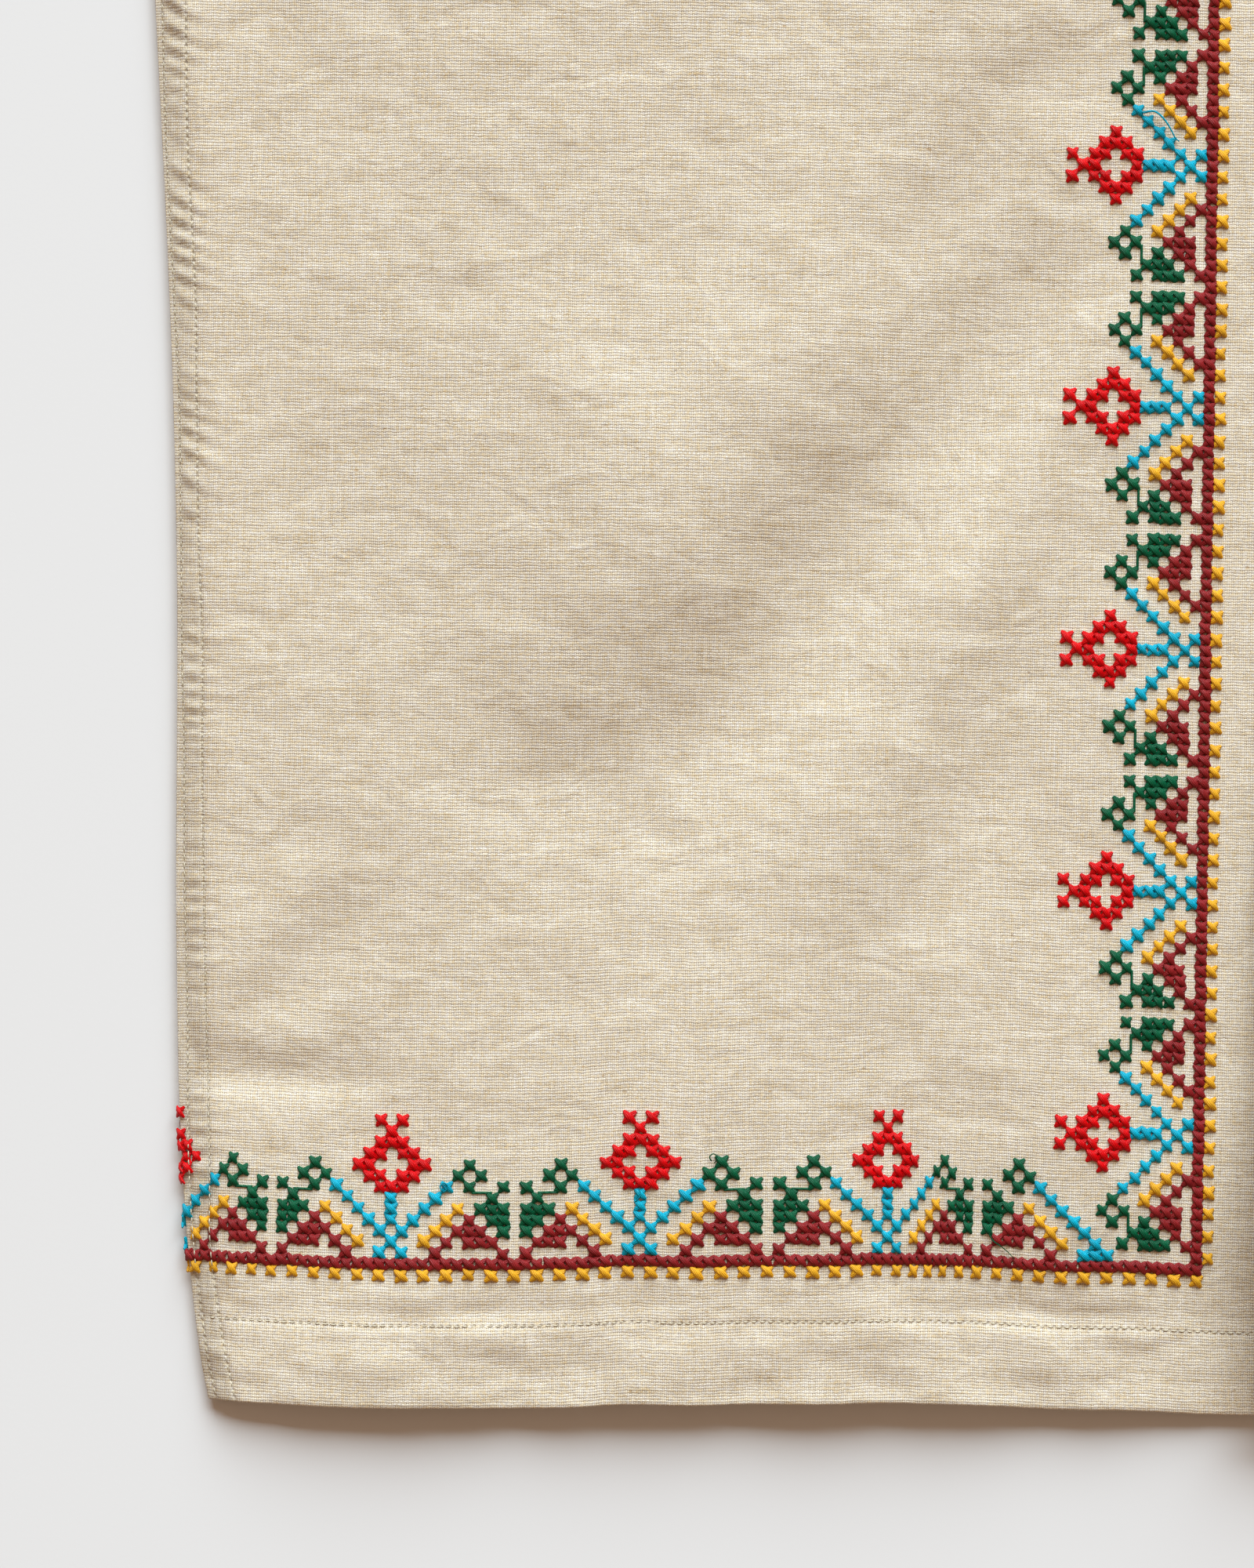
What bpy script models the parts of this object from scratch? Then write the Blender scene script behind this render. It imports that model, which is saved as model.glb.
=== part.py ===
"""Linen shirt with a stand collar and short sleeves, laid flat on a table.

Metres, +Z up. The opening runs along x = 0, +Y points to the collar, and the
underside of the back lies on z = 0. The origin is on that underside, under the
middle of the shirt's length. Heights h are measured up from the hem.
"""
import math

import bmesh
import bpy
import numpy as np
from mathutils import Vector
from mathutils.geometry import tessellate_polygon

ORIGIN_HEIGHT = 0.365     # height above the hem of the part's origin
GAP = 0.0003              # clearance between pieces that touch
CLOTH = 0.0014            # wall of one layer, with its seam allowance
HEM_DEPTH = 0.0189
HEM_EXTRA = 0.0007        # how much thicker the turned hem is
FELL_IN, FELL_OUT = 0.0026, 0.0091   # felled side seam, from the side edge
FELL_EXTRA = 0.0006
PLACKET_HALF = 0.015      # each front runs this far past the opening's line

ARMPIT_H = 0.450
SHOULDER_H = 0.672        # shoulder tip
NECK_H = 0.718            # where neck and shoulder meet
NECK_HALF = 0.080
FRONT_DROP = 0.078
BACK_DROP = 0.018
NECK_POWER = 2.4

FRONT_TOP = 0.0044        # top face of a front at its side edge
BACK_RIM = 0.00205        # the fold line at the side, back below and front above
ROLL = 0.0026             # radius of the side fold
OVERLAP_CLEAR = 0.0006
OVERLAP_END = 0.034       # where the lapping front is down on the back again

SLEEVE_END_TOP = (0.439, 0.557)      # (x, h) of the cuff's upper corner
SLEEVE_END_LOW = (0.342, 0.388)

COLLAR_TALL = 0.032
COLLAR_WALL = 0.0020
COLLAR_LEAN = (0.0, 0.89, 0.456)     # direction from neck seam to free edge
COLLAR_OFF = 0.00140      # band's middle, away from the panels' neck edges
COLLAR_FRONT_Z, COLLAR_BACK_Z = 0.0050, 0.0013
COLLAR_END = 0.002        # half the gap between the collar's two ends

BUTTON_HEIGHTS = (0.618, 0.513, 0.408, 0.303, 0.198, 0.093)
BUTTON_RADIUS, BUTTON_TALL = 0.0055, 0.0024
BUTTON_HOLE, BUTTON_PITCH = 0.0009, 0.0026

# half-width of the body at each height above the hem: hem, side, armhole
SIDE = {
    "height": (0.0, 0.0106, 0.051, 0.105, 0.186, 0.240, 0.321, 0.390, 0.450,
               0.458, 0.472, 0.495, 0.525, 0.560, 0.600, 0.640, 0.672),
    "half": (0.2559, 0.2580, 0.2625, 0.2647, 0.2657, 0.2677, 0.2726, 0.2770, 0.2800,
             0.2752, 0.2672, 0.2570, 0.2480, 0.2415, 0.2380, 0.2380, 0.2400),
}

# folds of the right front: (x, h) of each end, height and half-breadth
FOLDS = {
    "start": ((-0.060, 0.270), (-0.115, 0.215), (-0.125, 0.185), (-0.165, 0.160),
              (-0.045, 0.255), (-0.075, 0.218), (-0.235, 0.115)),
    "end": ((-0.115, 0.215), (-0.125, 0.185), (-0.165, 0.160), (-0.195, 0.140),
            (-0.075, 0.218), (-0.105, 0.150), (-0.252, 0.092)),
    "rise": (-0.0009, -0.0012, -0.0012, -0.0009, 0.0015, 0.0015, -0.0005),
    "breadth": (0.020, 0.022, 0.022, 0.020, 0.022, 0.024, 0.012),
}

CLOTH_COLOUR = (0.698, 0.617, 0.490, 1.0)
BUTTON_COLOUR = (0.610, 0.520, 0.390, 1.0)


def clear_scene():
    for item in list(bpy.data.objects):
        bpy.data.objects.remove(item, do_unlink=True)


def material(name, colour, roughness):
    made = bpy.data.materials.new(name)
    made.use_nodes = True
    shader = made.node_tree.nodes["Principled BSDF"]
    shader.inputs["Base Color"].default_value = colour
    shader.inputs["Roughness"].default_value = roughness
    shader.inputs["Metallic"].default_value = 0.0
    return made


def smooth(value, start, end):
    t = np.clip((value - start) / (end - start), 0.0, 1.0)
    return t * t * (3.0 - 2.0 * t)


def half_width(h):
    return np.interp(h, SIDE["height"], SIDE["half"])


def neck_edge(x, drop):
    """Height of the neck or shoulder edge above the hem at x."""
    ax = np.abs(x)
    slope = (NECK_H - SHOULDER_H) / (half_width(SHOULDER_H) - NECK_HALF)
    shoulder = NECK_H - (ax - NECK_HALF) * slope
    neck = NECK_H - drop * (1.0 - np.minimum(ax / NECK_HALF, 1.0) ** NECK_POWER)
    return np.where(ax >= NECK_HALF, shoulder, neck)


def rim_distance(x, h, drop):
    """Distance to the side fold or shoulder fold, large along armhole and neck."""
    ax = np.abs(x)
    side = half_width(h) - ax + 0.05 * smooth(h, ARMPIT_H - 0.022, ARMPIT_H - 0.002)
    top = (neck_edge(x, drop) - h) * 0.96
    top = top + 0.05 * (1.0 - smooth(ax, NECK_HALF - 0.006, NECK_HALF + 0.004))
    top = top + 0.05 * smooth(ax, half_width(SHOULDER_H) - 0.012, half_width(SHOULDER_H))
    return np.minimum(side, top)


def fold_height(x, h):
    """Broad soft folds of a front, seen as if it were the right front."""
    x = -np.abs(x)
    total = np.zeros_like(x)
    for start, end, rise, breadth in zip(*FOLDS.values()):
        along = np.array(end) - np.array(start)
        length = np.hypot(*along)
        px, ph = x - start[0], h - start[1]
        t = np.clip((px * along[0] + ph * along[1]) / length ** 2, 0.0, 1.0)
        away = np.hypot(px - t * along[0], ph - t * along[1])
        total += rise * np.exp(-(away / breadth) ** 2)
    belly = 0.0016 * smooth(half_width(h) + x, 0.012, 0.110) * smooth(h, 0.62, 0.48)
    fade = smooth(-x, 0.030, 0.070)
    return belly + total * fade * smooth(h, 0.50, 0.40)


def front_faces(x, h):
    """Upper and lower face of a front that lies on the back."""
    edge = rim_distance(x, h, FRONT_DROP)
    t = np.clip(edge / ROLL, 0.0, 1.0)
    curve = np.sqrt(np.clip(1.0 - (1.0 - t) ** 2, 0.0, 1.0))
    rim_low = BACK_RIM + GAP
    rim_top = rim_low + CLOTH * 0.8
    inner = smooth(edge, ROLL, ROLL + 0.004)
    top = rim_top + (FRONT_TOP - rim_top) * curve + fold_height(x, h)
    low = rim_low + inner * (top - CLOTH - rim_low)
    seam = smooth(edge, FELL_IN - 0.0006, FELL_IN) - smooth(edge, FELL_OUT - 0.0004, FELL_OUT)
    seam = np.where(h < ARMPIT_H, seam, 0.0)
    hem = 1.0 - smooth(h, HEM_DEPTH - 0.001, HEM_DEPTH)
    return top + FELL_EXTRA * seam + HEM_EXTRA * hem, low


def lapped_faces(x, h):
    """Faces of the left front, lifted where it lies over the right one."""
    top, low = front_faces(x, h)
    under = front_faces(np.minimum(x, PLACKET_HALF), h)[0]
    lift = 1.0 - smooth(x, PLACKET_HALF + 0.002, OVERLAP_END)
    rise = (under + OVERLAP_CLEAR - low) * lift
    return top + rise, low + rise


def back_faces(x, h):
    edge = rim_distance(x, h, BACK_DROP)
    t = np.clip(edge / ROLL, 0.0, 1.0)
    curve = np.sqrt(np.clip(1.0 - (1.0 - t) ** 2, 0.0, 1.0))
    low = (BACK_RIM - CLOTH * 0.8) * (1.0 - curve)
    top = BACK_RIM + (CLOTH - BACK_RIM) * smooth(edge, ROLL, ROLL + 0.004)
    hem = 1.0 - smooth(h, HEM_DEPTH - 0.001, HEM_DEPTH)
    return top + 0.4 * HEM_EXTRA * hem * smooth(edge, ROLL, ROLL + 0.004), low


def closed_sheet(name, top, low, finish):
    """Solid between two grids of points with shape (rows, columns, 3)."""
    rows, columns = top.shape[:2]
    points = np.concatenate([top.reshape(-1, 3), low.reshape(-1, 3)])
    below = rows * columns

    def at(row, column, side=0):
        return side * below + row * columns + column

    faces = []
    for r in range(rows - 1):
        for c in range(columns - 1):
            quad = (at(r, c), at(r, c + 1), at(r + 1, c + 1), at(r + 1, c))
            faces.append(quad)
            faces.append(tuple(below + index for index in reversed(quad)))
    rim = [(0, c) for c in range(columns)] + [(r, columns - 1) for r in range(1, rows)]
    rim += [(rows - 1, c) for c in range(columns - 2, -1, -1)]
    rim += [(r, 0) for r in range(rows - 2, 0, -1)]
    for start, end in zip(rim, rim[1:] + rim[:1]):
        faces.append((at(*end), at(*start), at(*start, 1), at(*end, 1)))
    return make_object(name, points, faces, finish)


def make_object(name, points, faces, finish):
    mesh = bpy.data.meshes.new(name)
    mesh.from_pydata([tuple(map(float, p)) for p in points], [], faces)
    face_outward(mesh)
    mesh.update()
    mesh.materials.append(finish)
    made = bpy.data.objects.new(name, mesh)
    bpy.context.scene.collection.objects.link(made)
    mesh.shade_smooth()
    mesh.set_sharp_from_angle(angle=math.radians(40))
    return made


def face_outward(mesh):
    working = bmesh.new()
    working.from_mesh(mesh)
    bmesh.ops.recalc_face_normals(working, faces=working.faces)
    working.to_mesh(mesh)
    working.free()


def panel_rows():
    """Row positions from hem to top, as heights at the side edge."""
    plain = (0.0, HEM_DEPTH - 0.001, HEM_DEPTH, 0.051, 0.078, 0.105, 0.132, 0.159, 0.186,
             0.213, 0.240, 0.267, 0.294, 0.321, 0.355, 0.390, 0.428, 0.450)
    armhole = tuple(h for h in SIDE["height"] if h > ARMPIT_H and h < SHOULDER_H)
    shoulder = (SHOULDER_H - ROLL, SHOULDER_H - 0.0008, SHOULDER_H)
    rows = set(plain) | {0.0106} | set(armhole) | {0.656} | set(shoulder)
    return np.array(sorted(rows))


def side_distances():
    return np.array((0.0, 0.0008, 0.0020, FELL_IN, FELL_OUT - 0.0004, FELL_OUT, 0.024, 0.042))


def panel_grid(columns_top, drop, last):
    """x and h of a half panel from its side edge (x < 0) to the column at last."""
    rows = panel_rows()
    fixed = side_distances()
    inner_side = fixed[-1]
    top_half = half_width(SHOULDER_H)
    x_top = np.concatenate([-(top_half - fixed), columns_top])
    share = (top_half - inner_side + columns_top) / (top_half - inner_side + last)
    x = np.zeros((len(rows), len(x_top)))
    h = np.zeros_like(x)
    lift = neck_edge(x_top, drop) - SHOULDER_H
    for r, side_h in enumerate(rows):
        half = half_width(side_h)
        start = -(half - inner_side)
        inner = start + share * (last - start)
        x[r] = np.concatenate([-(half - fixed), inner])
        h[r] = side_h + lift * smooth(side_h, 0.250, SHOULDER_H)
    return x, h


def stack(x, h, z):
    return np.stack([x, h - ORIGIN_HEIGHT, z], axis=-1)


def front_columns():
    return np.array((-0.170, -0.145, -0.120, -0.100, -0.086, -NECK_HALF, -0.074, -0.066,
                     -0.052, -0.038, -0.024, -0.015, 0.0, PLACKET_HALF))


def make_fronts(linen):
    x, h = panel_grid(front_columns(), FRONT_DROP, PLACKET_HALF)
    top, low = front_faces(x, h)
    closed_sheet("front_right", stack(x, h, top), stack(x, h, low), linen)
    x, h = -x[:, ::-1], h[:, ::-1]
    top, low = lapped_faces(x, h)
    closed_sheet("front_left", stack(x, h, top), stack(x, h, low), linen)


def make_back(linen):
    columns = np.array((-0.160, -0.120, -0.090, -NECK_HALF, -0.070, -0.045, 0.0))
    x, h = panel_grid(columns, BACK_DROP, 0.0)
    x = np.concatenate([x, -x[:, -2::-1]], axis=1)
    h = np.concatenate([h, h[:, -2::-1]], axis=1)
    top, low = back_faces(x, h)
    closed_sheet("back", stack(x, h, top), stack(x, h, low), linen)


def ring_solid(name, outer, inner, finish, looped):
    """Solid between two stacks of rings, (stations, points, 3); open ends are rimmed."""
    stations, count = outer.shape[:2]
    points = np.concatenate([outer.reshape(-1, 3), inner.reshape(-1, 3)])
    below = stations * count
    steps = count if looped else count - 1
    faces = []
    for s in range(stations - 1):
        for c in range(steps):
            n = (c + 1) % count
            quad = (s * count + c, s * count + n, (s + 1) * count + n, (s + 1) * count + c)
            faces.append(quad)
            faces.append(tuple(below + index for index in reversed(quad)))
    last = (stations - 1) * count
    for c in range(steps):
        n = (c + 1) % count
        faces.append((n, c, below + c, below + n))
        faces.append((last + c, last + n, below + last + n, below + last + c))
    if not looped:
        for s in range(stations - 1):
            a, b = s * count, (s + 1) * count
            faces.append((a, b, below + b, below + a))
            end_a, end_b = a + count - 1, b + count - 1
            faces.append((end_b, end_a, below + end_a, below + end_b))
    return make_object(name, points, faces, finish)


def make_sleeve(name, side, linen):
    """Flat tube from the armhole (side -1 or 1) to a straight cuff."""
    knots = [h for h in panel_rows() if ARMPIT_H <= h <= SHOULDER_H]
    shares = [(SHOULDER_H - h) / (SHOULDER_H - ARMPIT_H) for h in knots]
    extra = (0.0045, 0.0130, 0.9870, 0.9955)
    shares = np.array(sorted(set(np.round(shares, 6)) | set(extra)))
    edge_in = CLOTH * 1.02 / (SHOULDER_H - ARMPIT_H)
    stations = np.array((0.0, 0.25, 0.5, 0.75, 0.905, 0.915, 1.0))
    outer, inner = [], []
    for s in stations:
        fuller = HEM_EXTRA * smooth(s, 0.905, 0.915)

        def place(f, z):
            h0 = SHOULDER_H - f * (SHOULDER_H - ARMPIT_H)
            x0 = half_width(h0) + GAP
            x1 = SLEEVE_END_TOP[0] + f * (SLEEVE_END_LOW[0] - SLEEVE_END_TOP[0])
            h1 = SLEEVE_END_TOP[1] + f * (SLEEVE_END_LOW[1] - SLEEVE_END_TOP[1])
            x, h = x0 + s * (x1 - x0), h0 + s * (h1 - h0)
            return (side * x, h - ORIGIN_HEIGHT, z)

        def bulge(f):
            near = min(f, 1.0 - f) * (SHOULDER_H - ARMPIT_H)
            return math.sqrt(max(0.0, 1.0 - max(0.0, 1.0 - near / ROLL) ** 2))

        mid = 0.5 * FRONT_TOP
        high = [place(f, mid + (FRONT_TOP + fuller - mid) * bulge(f)) for f in shares]
        under = [place(f, mid - mid * bulge(f)) for f in shares[-2:0:-1]]
        outer.append(high + under)
        tight = edge_in + shares * (1.0 - 2.0 * edge_in)
        gap = 0.5 * (FRONT_TOP - 2.0 * CLOTH)
        swell = [min(1.0, 1.6 * bulge(f)) for f in shares]
        high = [place(t, mid + gap * w) for t, w in zip(tight, swell)]
        under = [place(t, mid - gap * w) for t, w in zip(tight[-2:0:-1], swell[-2:0:-1])]
        inner.append(high + under)
    outer, inner = np.array(outer), np.array(inner)
    if side < 0:
        outer, inner = outer[:, ::-1], inner[:, ::-1]
    ring_solid(name, outer, inner, linen, True)


def edge_run(xs, drop, z_of):
    """Neck edge moved into the opening (front) or past the panel (back)."""
    step = 1e-5
    found = []
    for x in xs:
        slope = (neck_edge(x + step, drop) - neck_edge(x - step, drop)) / (2.0 * step)
        length = math.hypot(slope, 1.0)
        h = neck_edge(x, drop) + COLLAR_OFF / length
        found.append((x - COLLAR_OFF * slope / length, float(h), z_of(abs(x))))
    return found


def collar_loop():
    """Neck seam from the right front end round the back to the left front end."""
    front = -np.array((COLLAR_END, 0.012, 0.026, 0.040, 0.052, 0.061, 0.068, 0.073))
    back = -np.array((0.073, 0.062, 0.048, 0.032, 0.016))
    middle = COLLAR_FRONT_Z - 0.0012

    def front_z(ax):
        return COLLAR_FRONT_Z + (middle - COLLAR_FRONT_Z) * float(smooth(ax, 0.030, 0.073))

    def back_z(ax):
        return COLLAR_BACK_Z + (middle - COLLAR_BACK_Z) * float(smooth(ax, 0.050, 0.073))

    half = edge_run(front, FRONT_DROP, front_z)
    half += [(-0.0736, 0.7070, middle), (-0.0746, 0.7105, middle), (-0.0742, 0.7135, middle)]
    half += edge_run(back, BACK_DROP, back_z)
    centre = [(0.0, float(neck_edge(0.0, BACK_DROP)) + COLLAR_OFF, COLLAR_BACK_Z)]
    mirrored = [(-x, h, z) for x, h, z in reversed(half)]
    loop = np.array(half + centre + mirrored)
    loop[:, 1] -= ORIGIN_HEIGHT
    return loop


def make_collar(linen):
    loop = collar_loop()
    lean = np.array(COLLAR_LEAN)
    tangent = np.gradient(loop, axis=0)
    normal = np.cross(tangent, lean)
    normal /= np.linalg.norm(normal, axis=1)[:, None]
    stations = (0.0, 0.33, 0.66, 1.0)
    half = 0.5 * COLLAR_WALL
    one = np.array([loop + s * COLLAR_TALL * lean + half * normal for s in stations])
    two = np.array([loop + s * COLLAR_TALL * lean - half * normal for s in stations])
    ring_solid("collar_band", two, one, linen, False)


def make_buttons(horn):
    for number, height in enumerate(BUTTON_HEIGHTS, 1):
        top = float(lapped_faces(np.array([0.0]), np.array([height]))[0][0])
        rings = [ring(0.0, 0.0, BUTTON_RADIUS, 20)]
        for sx in (-0.5, 0.5):
            for sy in (-0.5, 0.5):
                hole = ring(sx * BUTTON_PITCH, sy * BUTTON_PITCH, BUTTON_HOLE, 6)
                rings.append(hole[::-1])
        flat = [[Vector((x, y, 0.0)) for x, y in loop] for loop in rings]
        triangles = tessellate_polygon(flat)
        plan = [point for loop in rings for point in loop]
        count = len(plan)
        low, high = top + GAP, top + GAP + BUTTON_TALL
        points = [(x, y + height - ORIGIN_HEIGHT, low) for x, y in plan]
        points += [(x, y + height - ORIGIN_HEIGHT, high) for x, y in plan]
        faces = []
        for a, b, c in triangles:
            faces.append((count + a, count + b, count + c))
            faces.append((c, b, a))
        first = 0
        for loop in rings:
            size = len(loop)
            for k in range(size):
                a, b = first + k, first + (k + 1) % size
                faces.append((a, b, count + b, count + a))
            first += size
        make_object(f"button_{number}", points, faces, horn)


def ring(cx, cy, radius, count):
    angles = [2.0 * math.pi * k / count for k in range(count)]
    return [(cx + radius * math.cos(a), cy + radius * math.sin(a)) for a in angles]


def main():
    clear_scene()
    linen = material("natural_linen", CLOTH_COLOUR, 0.9)
    horn = material("pale_horn", BUTTON_COLOUR, 0.45)
    make_back(linen)
    make_fronts(linen)
    make_sleeve("sleeve_right", -1, linen)
    make_sleeve("sleeve_left", 1, linen)
    make_collar(linen)
    make_buttons(horn)


main()
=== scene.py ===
"""Looks of a linen shirt laid flat: cloth with its folds and seams, cross-stitch border,
machine stitching, collar and buttons.

Metres. +X across the shirt, +Y up to the collar, +Z up. Heights h are measured up from
the hem, so world y is h minus ORIGIN_HEIGHT.
"""
import functools
import math

import bmesh
import bpy
import numpy as np
from bpy.props import FloatProperty, PointerProperty, StringProperty
from mathutils import Matrix, Vector


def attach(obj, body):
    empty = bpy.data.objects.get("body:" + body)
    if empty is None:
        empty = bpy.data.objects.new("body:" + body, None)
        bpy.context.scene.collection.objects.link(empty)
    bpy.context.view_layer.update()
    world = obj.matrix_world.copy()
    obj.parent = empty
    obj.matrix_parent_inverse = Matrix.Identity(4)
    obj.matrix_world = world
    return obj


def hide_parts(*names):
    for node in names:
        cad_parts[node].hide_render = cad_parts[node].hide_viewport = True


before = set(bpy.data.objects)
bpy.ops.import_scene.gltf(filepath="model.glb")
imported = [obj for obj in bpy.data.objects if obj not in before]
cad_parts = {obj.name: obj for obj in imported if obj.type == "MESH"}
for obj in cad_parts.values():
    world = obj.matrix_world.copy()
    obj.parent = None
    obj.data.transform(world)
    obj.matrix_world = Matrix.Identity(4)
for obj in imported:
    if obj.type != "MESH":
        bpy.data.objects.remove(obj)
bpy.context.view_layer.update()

bl_info = {
    "name": "Embroidered linen shirt",
    "version": (1, 0, 0),
    "blender": (4, 5, 0),
    "location": "View3D > Sidebar > Shirt",
    "description": "Builds a cross-stitched linen shirt that lies flat",
    "category": "Add Mesh",
}

ORIGIN_HEIGHT = 0.365
MM = 0.001

# the shirt's cut, as in the solids
ARMPIT_H, SHOULDER_H, NECK_H = 0.450, 0.672, 0.718
NECK_HALF, NECK_POWER = 0.080, 2.4
FRONT_DROP, BACK_DROP = 0.078, 0.018
PLACKET_HALF = 0.015
HEM_DEPTH = 0.0189
FRONT_TOP = 0.0044
ROLL = 0.0026
RIM_Z = 0.0024
LOWEST_FACE = 0.0026
OVERLAP_END = 0.034
SLEEVE_END_TOP, SLEEVE_END_LOW = (0.439, 0.557), (0.342, 0.388)
COLLAR_LEAN = (0.0, 0.89, 0.456)
COLLAR_OFF = 0.0014
COLLAR_FRONT_Z, COLLAR_BACK_Z, COLLAR_END = 0.0050, 0.0013, 0.002
COLLAR_CORNER = 0.011
COLLAR_STATIONS = 260
COLLAR_LEVELS = (0.0, 0.015, 0.05, 0.09, 0.13, 0.2, 0.3, 0.4, 0.5, 0.6, 0.7, 0.8, 0.87, 0.91, 0.95,
                 0.985, 1.0)
COLLAR_ROWS = (0.09, 0.91)
# half the thickness of a sleeve, and the shares out along it between which its hem starts
SLEEVE_MIDDLE = 0.5 * FRONT_TOP
SLEEVE_HEM = (0.905, 0.915)
# how much of the front's wander at the hem the back follows
BACK_DRIFT = 0.5
# how far inside an armhole or shoulder seam its row of stitches runs, and how high it lies
SEAM_IN, ABOVE = 0.0065, 0.00010
PLACKET_TOP = 0.636
# a cross's leg against the stitch's side: its diagonal, and a little more into the holes
LEG_REACH = 1.46
# the border on the back: the width of its stitches, and the height of the face they are on
BACK_PITCH, BACK_FACE_Z = 0.00258, 0.00056
# threads from bud to leaf stay below the neck and inside the side seam
BORDER_TOP, BORDER_SIDE = 0.630, 0.255
LINK_RISE, LINK_RADIUS = 0.00018, 0.00030
UP, DOWN = (0.0, 0.0, 1.0), (0.0, 0.0, -1.0)
THREAD_SIDES = 6
FLOOR_REACH, WINDOW_DISTANCE = 24.0, 20.0
# soft-light tints either side of middle grey, so that the cloth's own colour stays
COOL_CAST, WARM_CAST = "#AABCCC", "#CCBCA8"
# what a stitch tree is given: name, kind and default
STITCH_SOCKETS = (("Points", "Geometry", None), ("Stitch", "Float", 0.0025), ("Strand", "Float", 0.001),
                  ("Unevenness", "Float", 0.07), ("Seed", "Int", 1), ("Thread", "Material", None))
BUTTON_HEIGHTS = (0.618, 0.513, 0.408, 0.303, 0.198, 0.093)

SIDE = {
    "height": (0.0, 0.0106, 0.051, 0.105, 0.186, 0.240, 0.321, 0.390, 0.450),
    "half": (0.2559, 0.2580, 0.2625, 0.2647, 0.2657, 0.2677, 0.2726, 0.2770, 0.2800),
}
ARMHOLE = {
    "height": (0.450, 0.458, 0.472, 0.495, 0.525, 0.560, 0.600, 0.640, 0.672),
    "half": (0.2800, 0.2752, 0.2672, 0.2570, 0.2480, 0.2415, 0.2380, 0.2380, 0.2400),
}
ARMHOLE_SPAN = SHOULDER_H - ARMPIT_H
SHOULDER_HALF = ARMHOLE["half"][-1]

# the right front's main folds and creases: crest or valley lines as (x, h, rise, half-breadth)
# in millimetres
FOLDS = (
    ((-44, 284, -0.6, 19), (-68, 260, -3.0, 18), (-82, 243, -4.2, 19), (-93, 227, -5.0, 20),
     (-104, 209, -5.7, 19), (-114, 192, -6.0, 19), (-123, 175, -5.6, 20), (-137, 157, -4.8, 21),
     (-156, 142, -3.4, 22), (-178, 142, -2.7, 18), (-198, 152, -0.6, 14)),
    ((-98, 286, 0.2, 20), (-109, 266, 0.9, 22), (-132, 234, 3.4, 23), (-153, 198, 3.0, 23),
     (-177, 176, 1.0, 20)),
    ((-118, 300, 0.0, 30), (-150, 262, 0.2, 34), (-178, 214, 0.9, 34), (-196, 180, 0.2, 30)),
    ((-34, 268, 0.2, 15), (-52, 246, 1.1, 13), (-66, 226, 1.5, 12), (-78, 206, 2.0, 11),
     (-87, 184, 3.2, 10), (-93, 163, 2.8, 10), (-99, 143, 1.9, 10), (-106, 125, 0.9, 11),
     (-112, 104, 0.1, 12)),
    ((-135, 116, -0.9, 26), (-160, 106, -1.6, 28), (-195, 112, -0.7, 26)),
    ((-66, 196, -0.3, 10), (-73, 168, -1.7, 10), (-79, 140, -1.9, 10), (-90, 112, -0.9, 10)),
    ((-262, 77, -1.0, 6.0), (-248, 75, -1.6, 6.0), (-234, 75, -1.4, 5.6), (-224, 75, -0.9, 5),
     (-214, 73, -0.1, 4)),
    ((-221, 122, -0.2, 7), (-225, 114, -0.9, 6.5), (-233, 101, -1.3, 6.5), (-240, 90, -0.8, 6),
     (-244, 83, -0.1, 6)),
    ((-232, 127, 0.2, 7), (-236, 121, 0.9, 6.5), (-244, 108, 1.3, 6.5), (-250, 98, 1.0, 6),
     (-255, 90, 0.2, 5)),
    ((-212, 242, 0.0, 4), (-207, 252, -0.45, 4), (-198, 256, -0.45, 4), (-190, 254, 0.0, 4)),
    ((-206, 262, 0.0, 9), (-192, 250, 0.5, 9), (-176, 235, 0.8, 9), (-163, 222, 0.6, 9),
     (-150, 205, 0.0, 9)),
    ((-214, 222, 0.0, 6), (-207, 202, -0.4, 6), (-212, 186, -0.3, 6), (-208, 170, 0.0, 6)),
    ((-164, 330, -0.6, 13), (-161, 306, -0.5, 12), (-168, 286, 0.0, 11)),
    ((-60, 318, -0.5, 12), (-68, 303, -1.7, 12), (-80, 287, -2.3, 12), (-92, 272, -2.1, 12),
     (-106, 257, -0.8, 12)),
    ((-64, 312, -0.5, 6), (-76, 304, -0.7, 6), (-90, 296, -0.2, 6)),
    ((-226, 21, -0.1, 3), (-205, 21, -0.5, 3.2), (-180, 21.5, -0.5, 3.2), (-160, 21, -0.1, 3)),
    ((-96, 22, -0.1, 3), (-76, 22, -0.45, 3), (-48, 21.5, -0.45, 3), (-36, 21, -0.1, 3)),
    ((-226, 1, -0.1, 2.5), (-214, 4.5, -0.4, 2.5), (-204, 8.5, -0.1, 2.5)),
    ((-208, 12, -0.1, 3), (-199, 11, -0.7, 3), (-186, 11, -0.5, 3), (-174, 12, -0.1, 3)),
    ((-140, 3, -0.1, 3), (-126, 5, -0.5, 3.5), (-112, 7, -0.1, 3)),
    ((-93, 28, 0.1, 5), (-97, 16, 0.7, 5), (-90, 5, 0.2, 5)),
    ((-205, 61, -0.1, 4), (-190, 63, -0.35, 4), (-170, 62, -0.1, 4)),
    ((-128, 61, -0.1, 4), (-110, 60, -0.3, 4), (-94, 63, -0.1, 4)),
)

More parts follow.
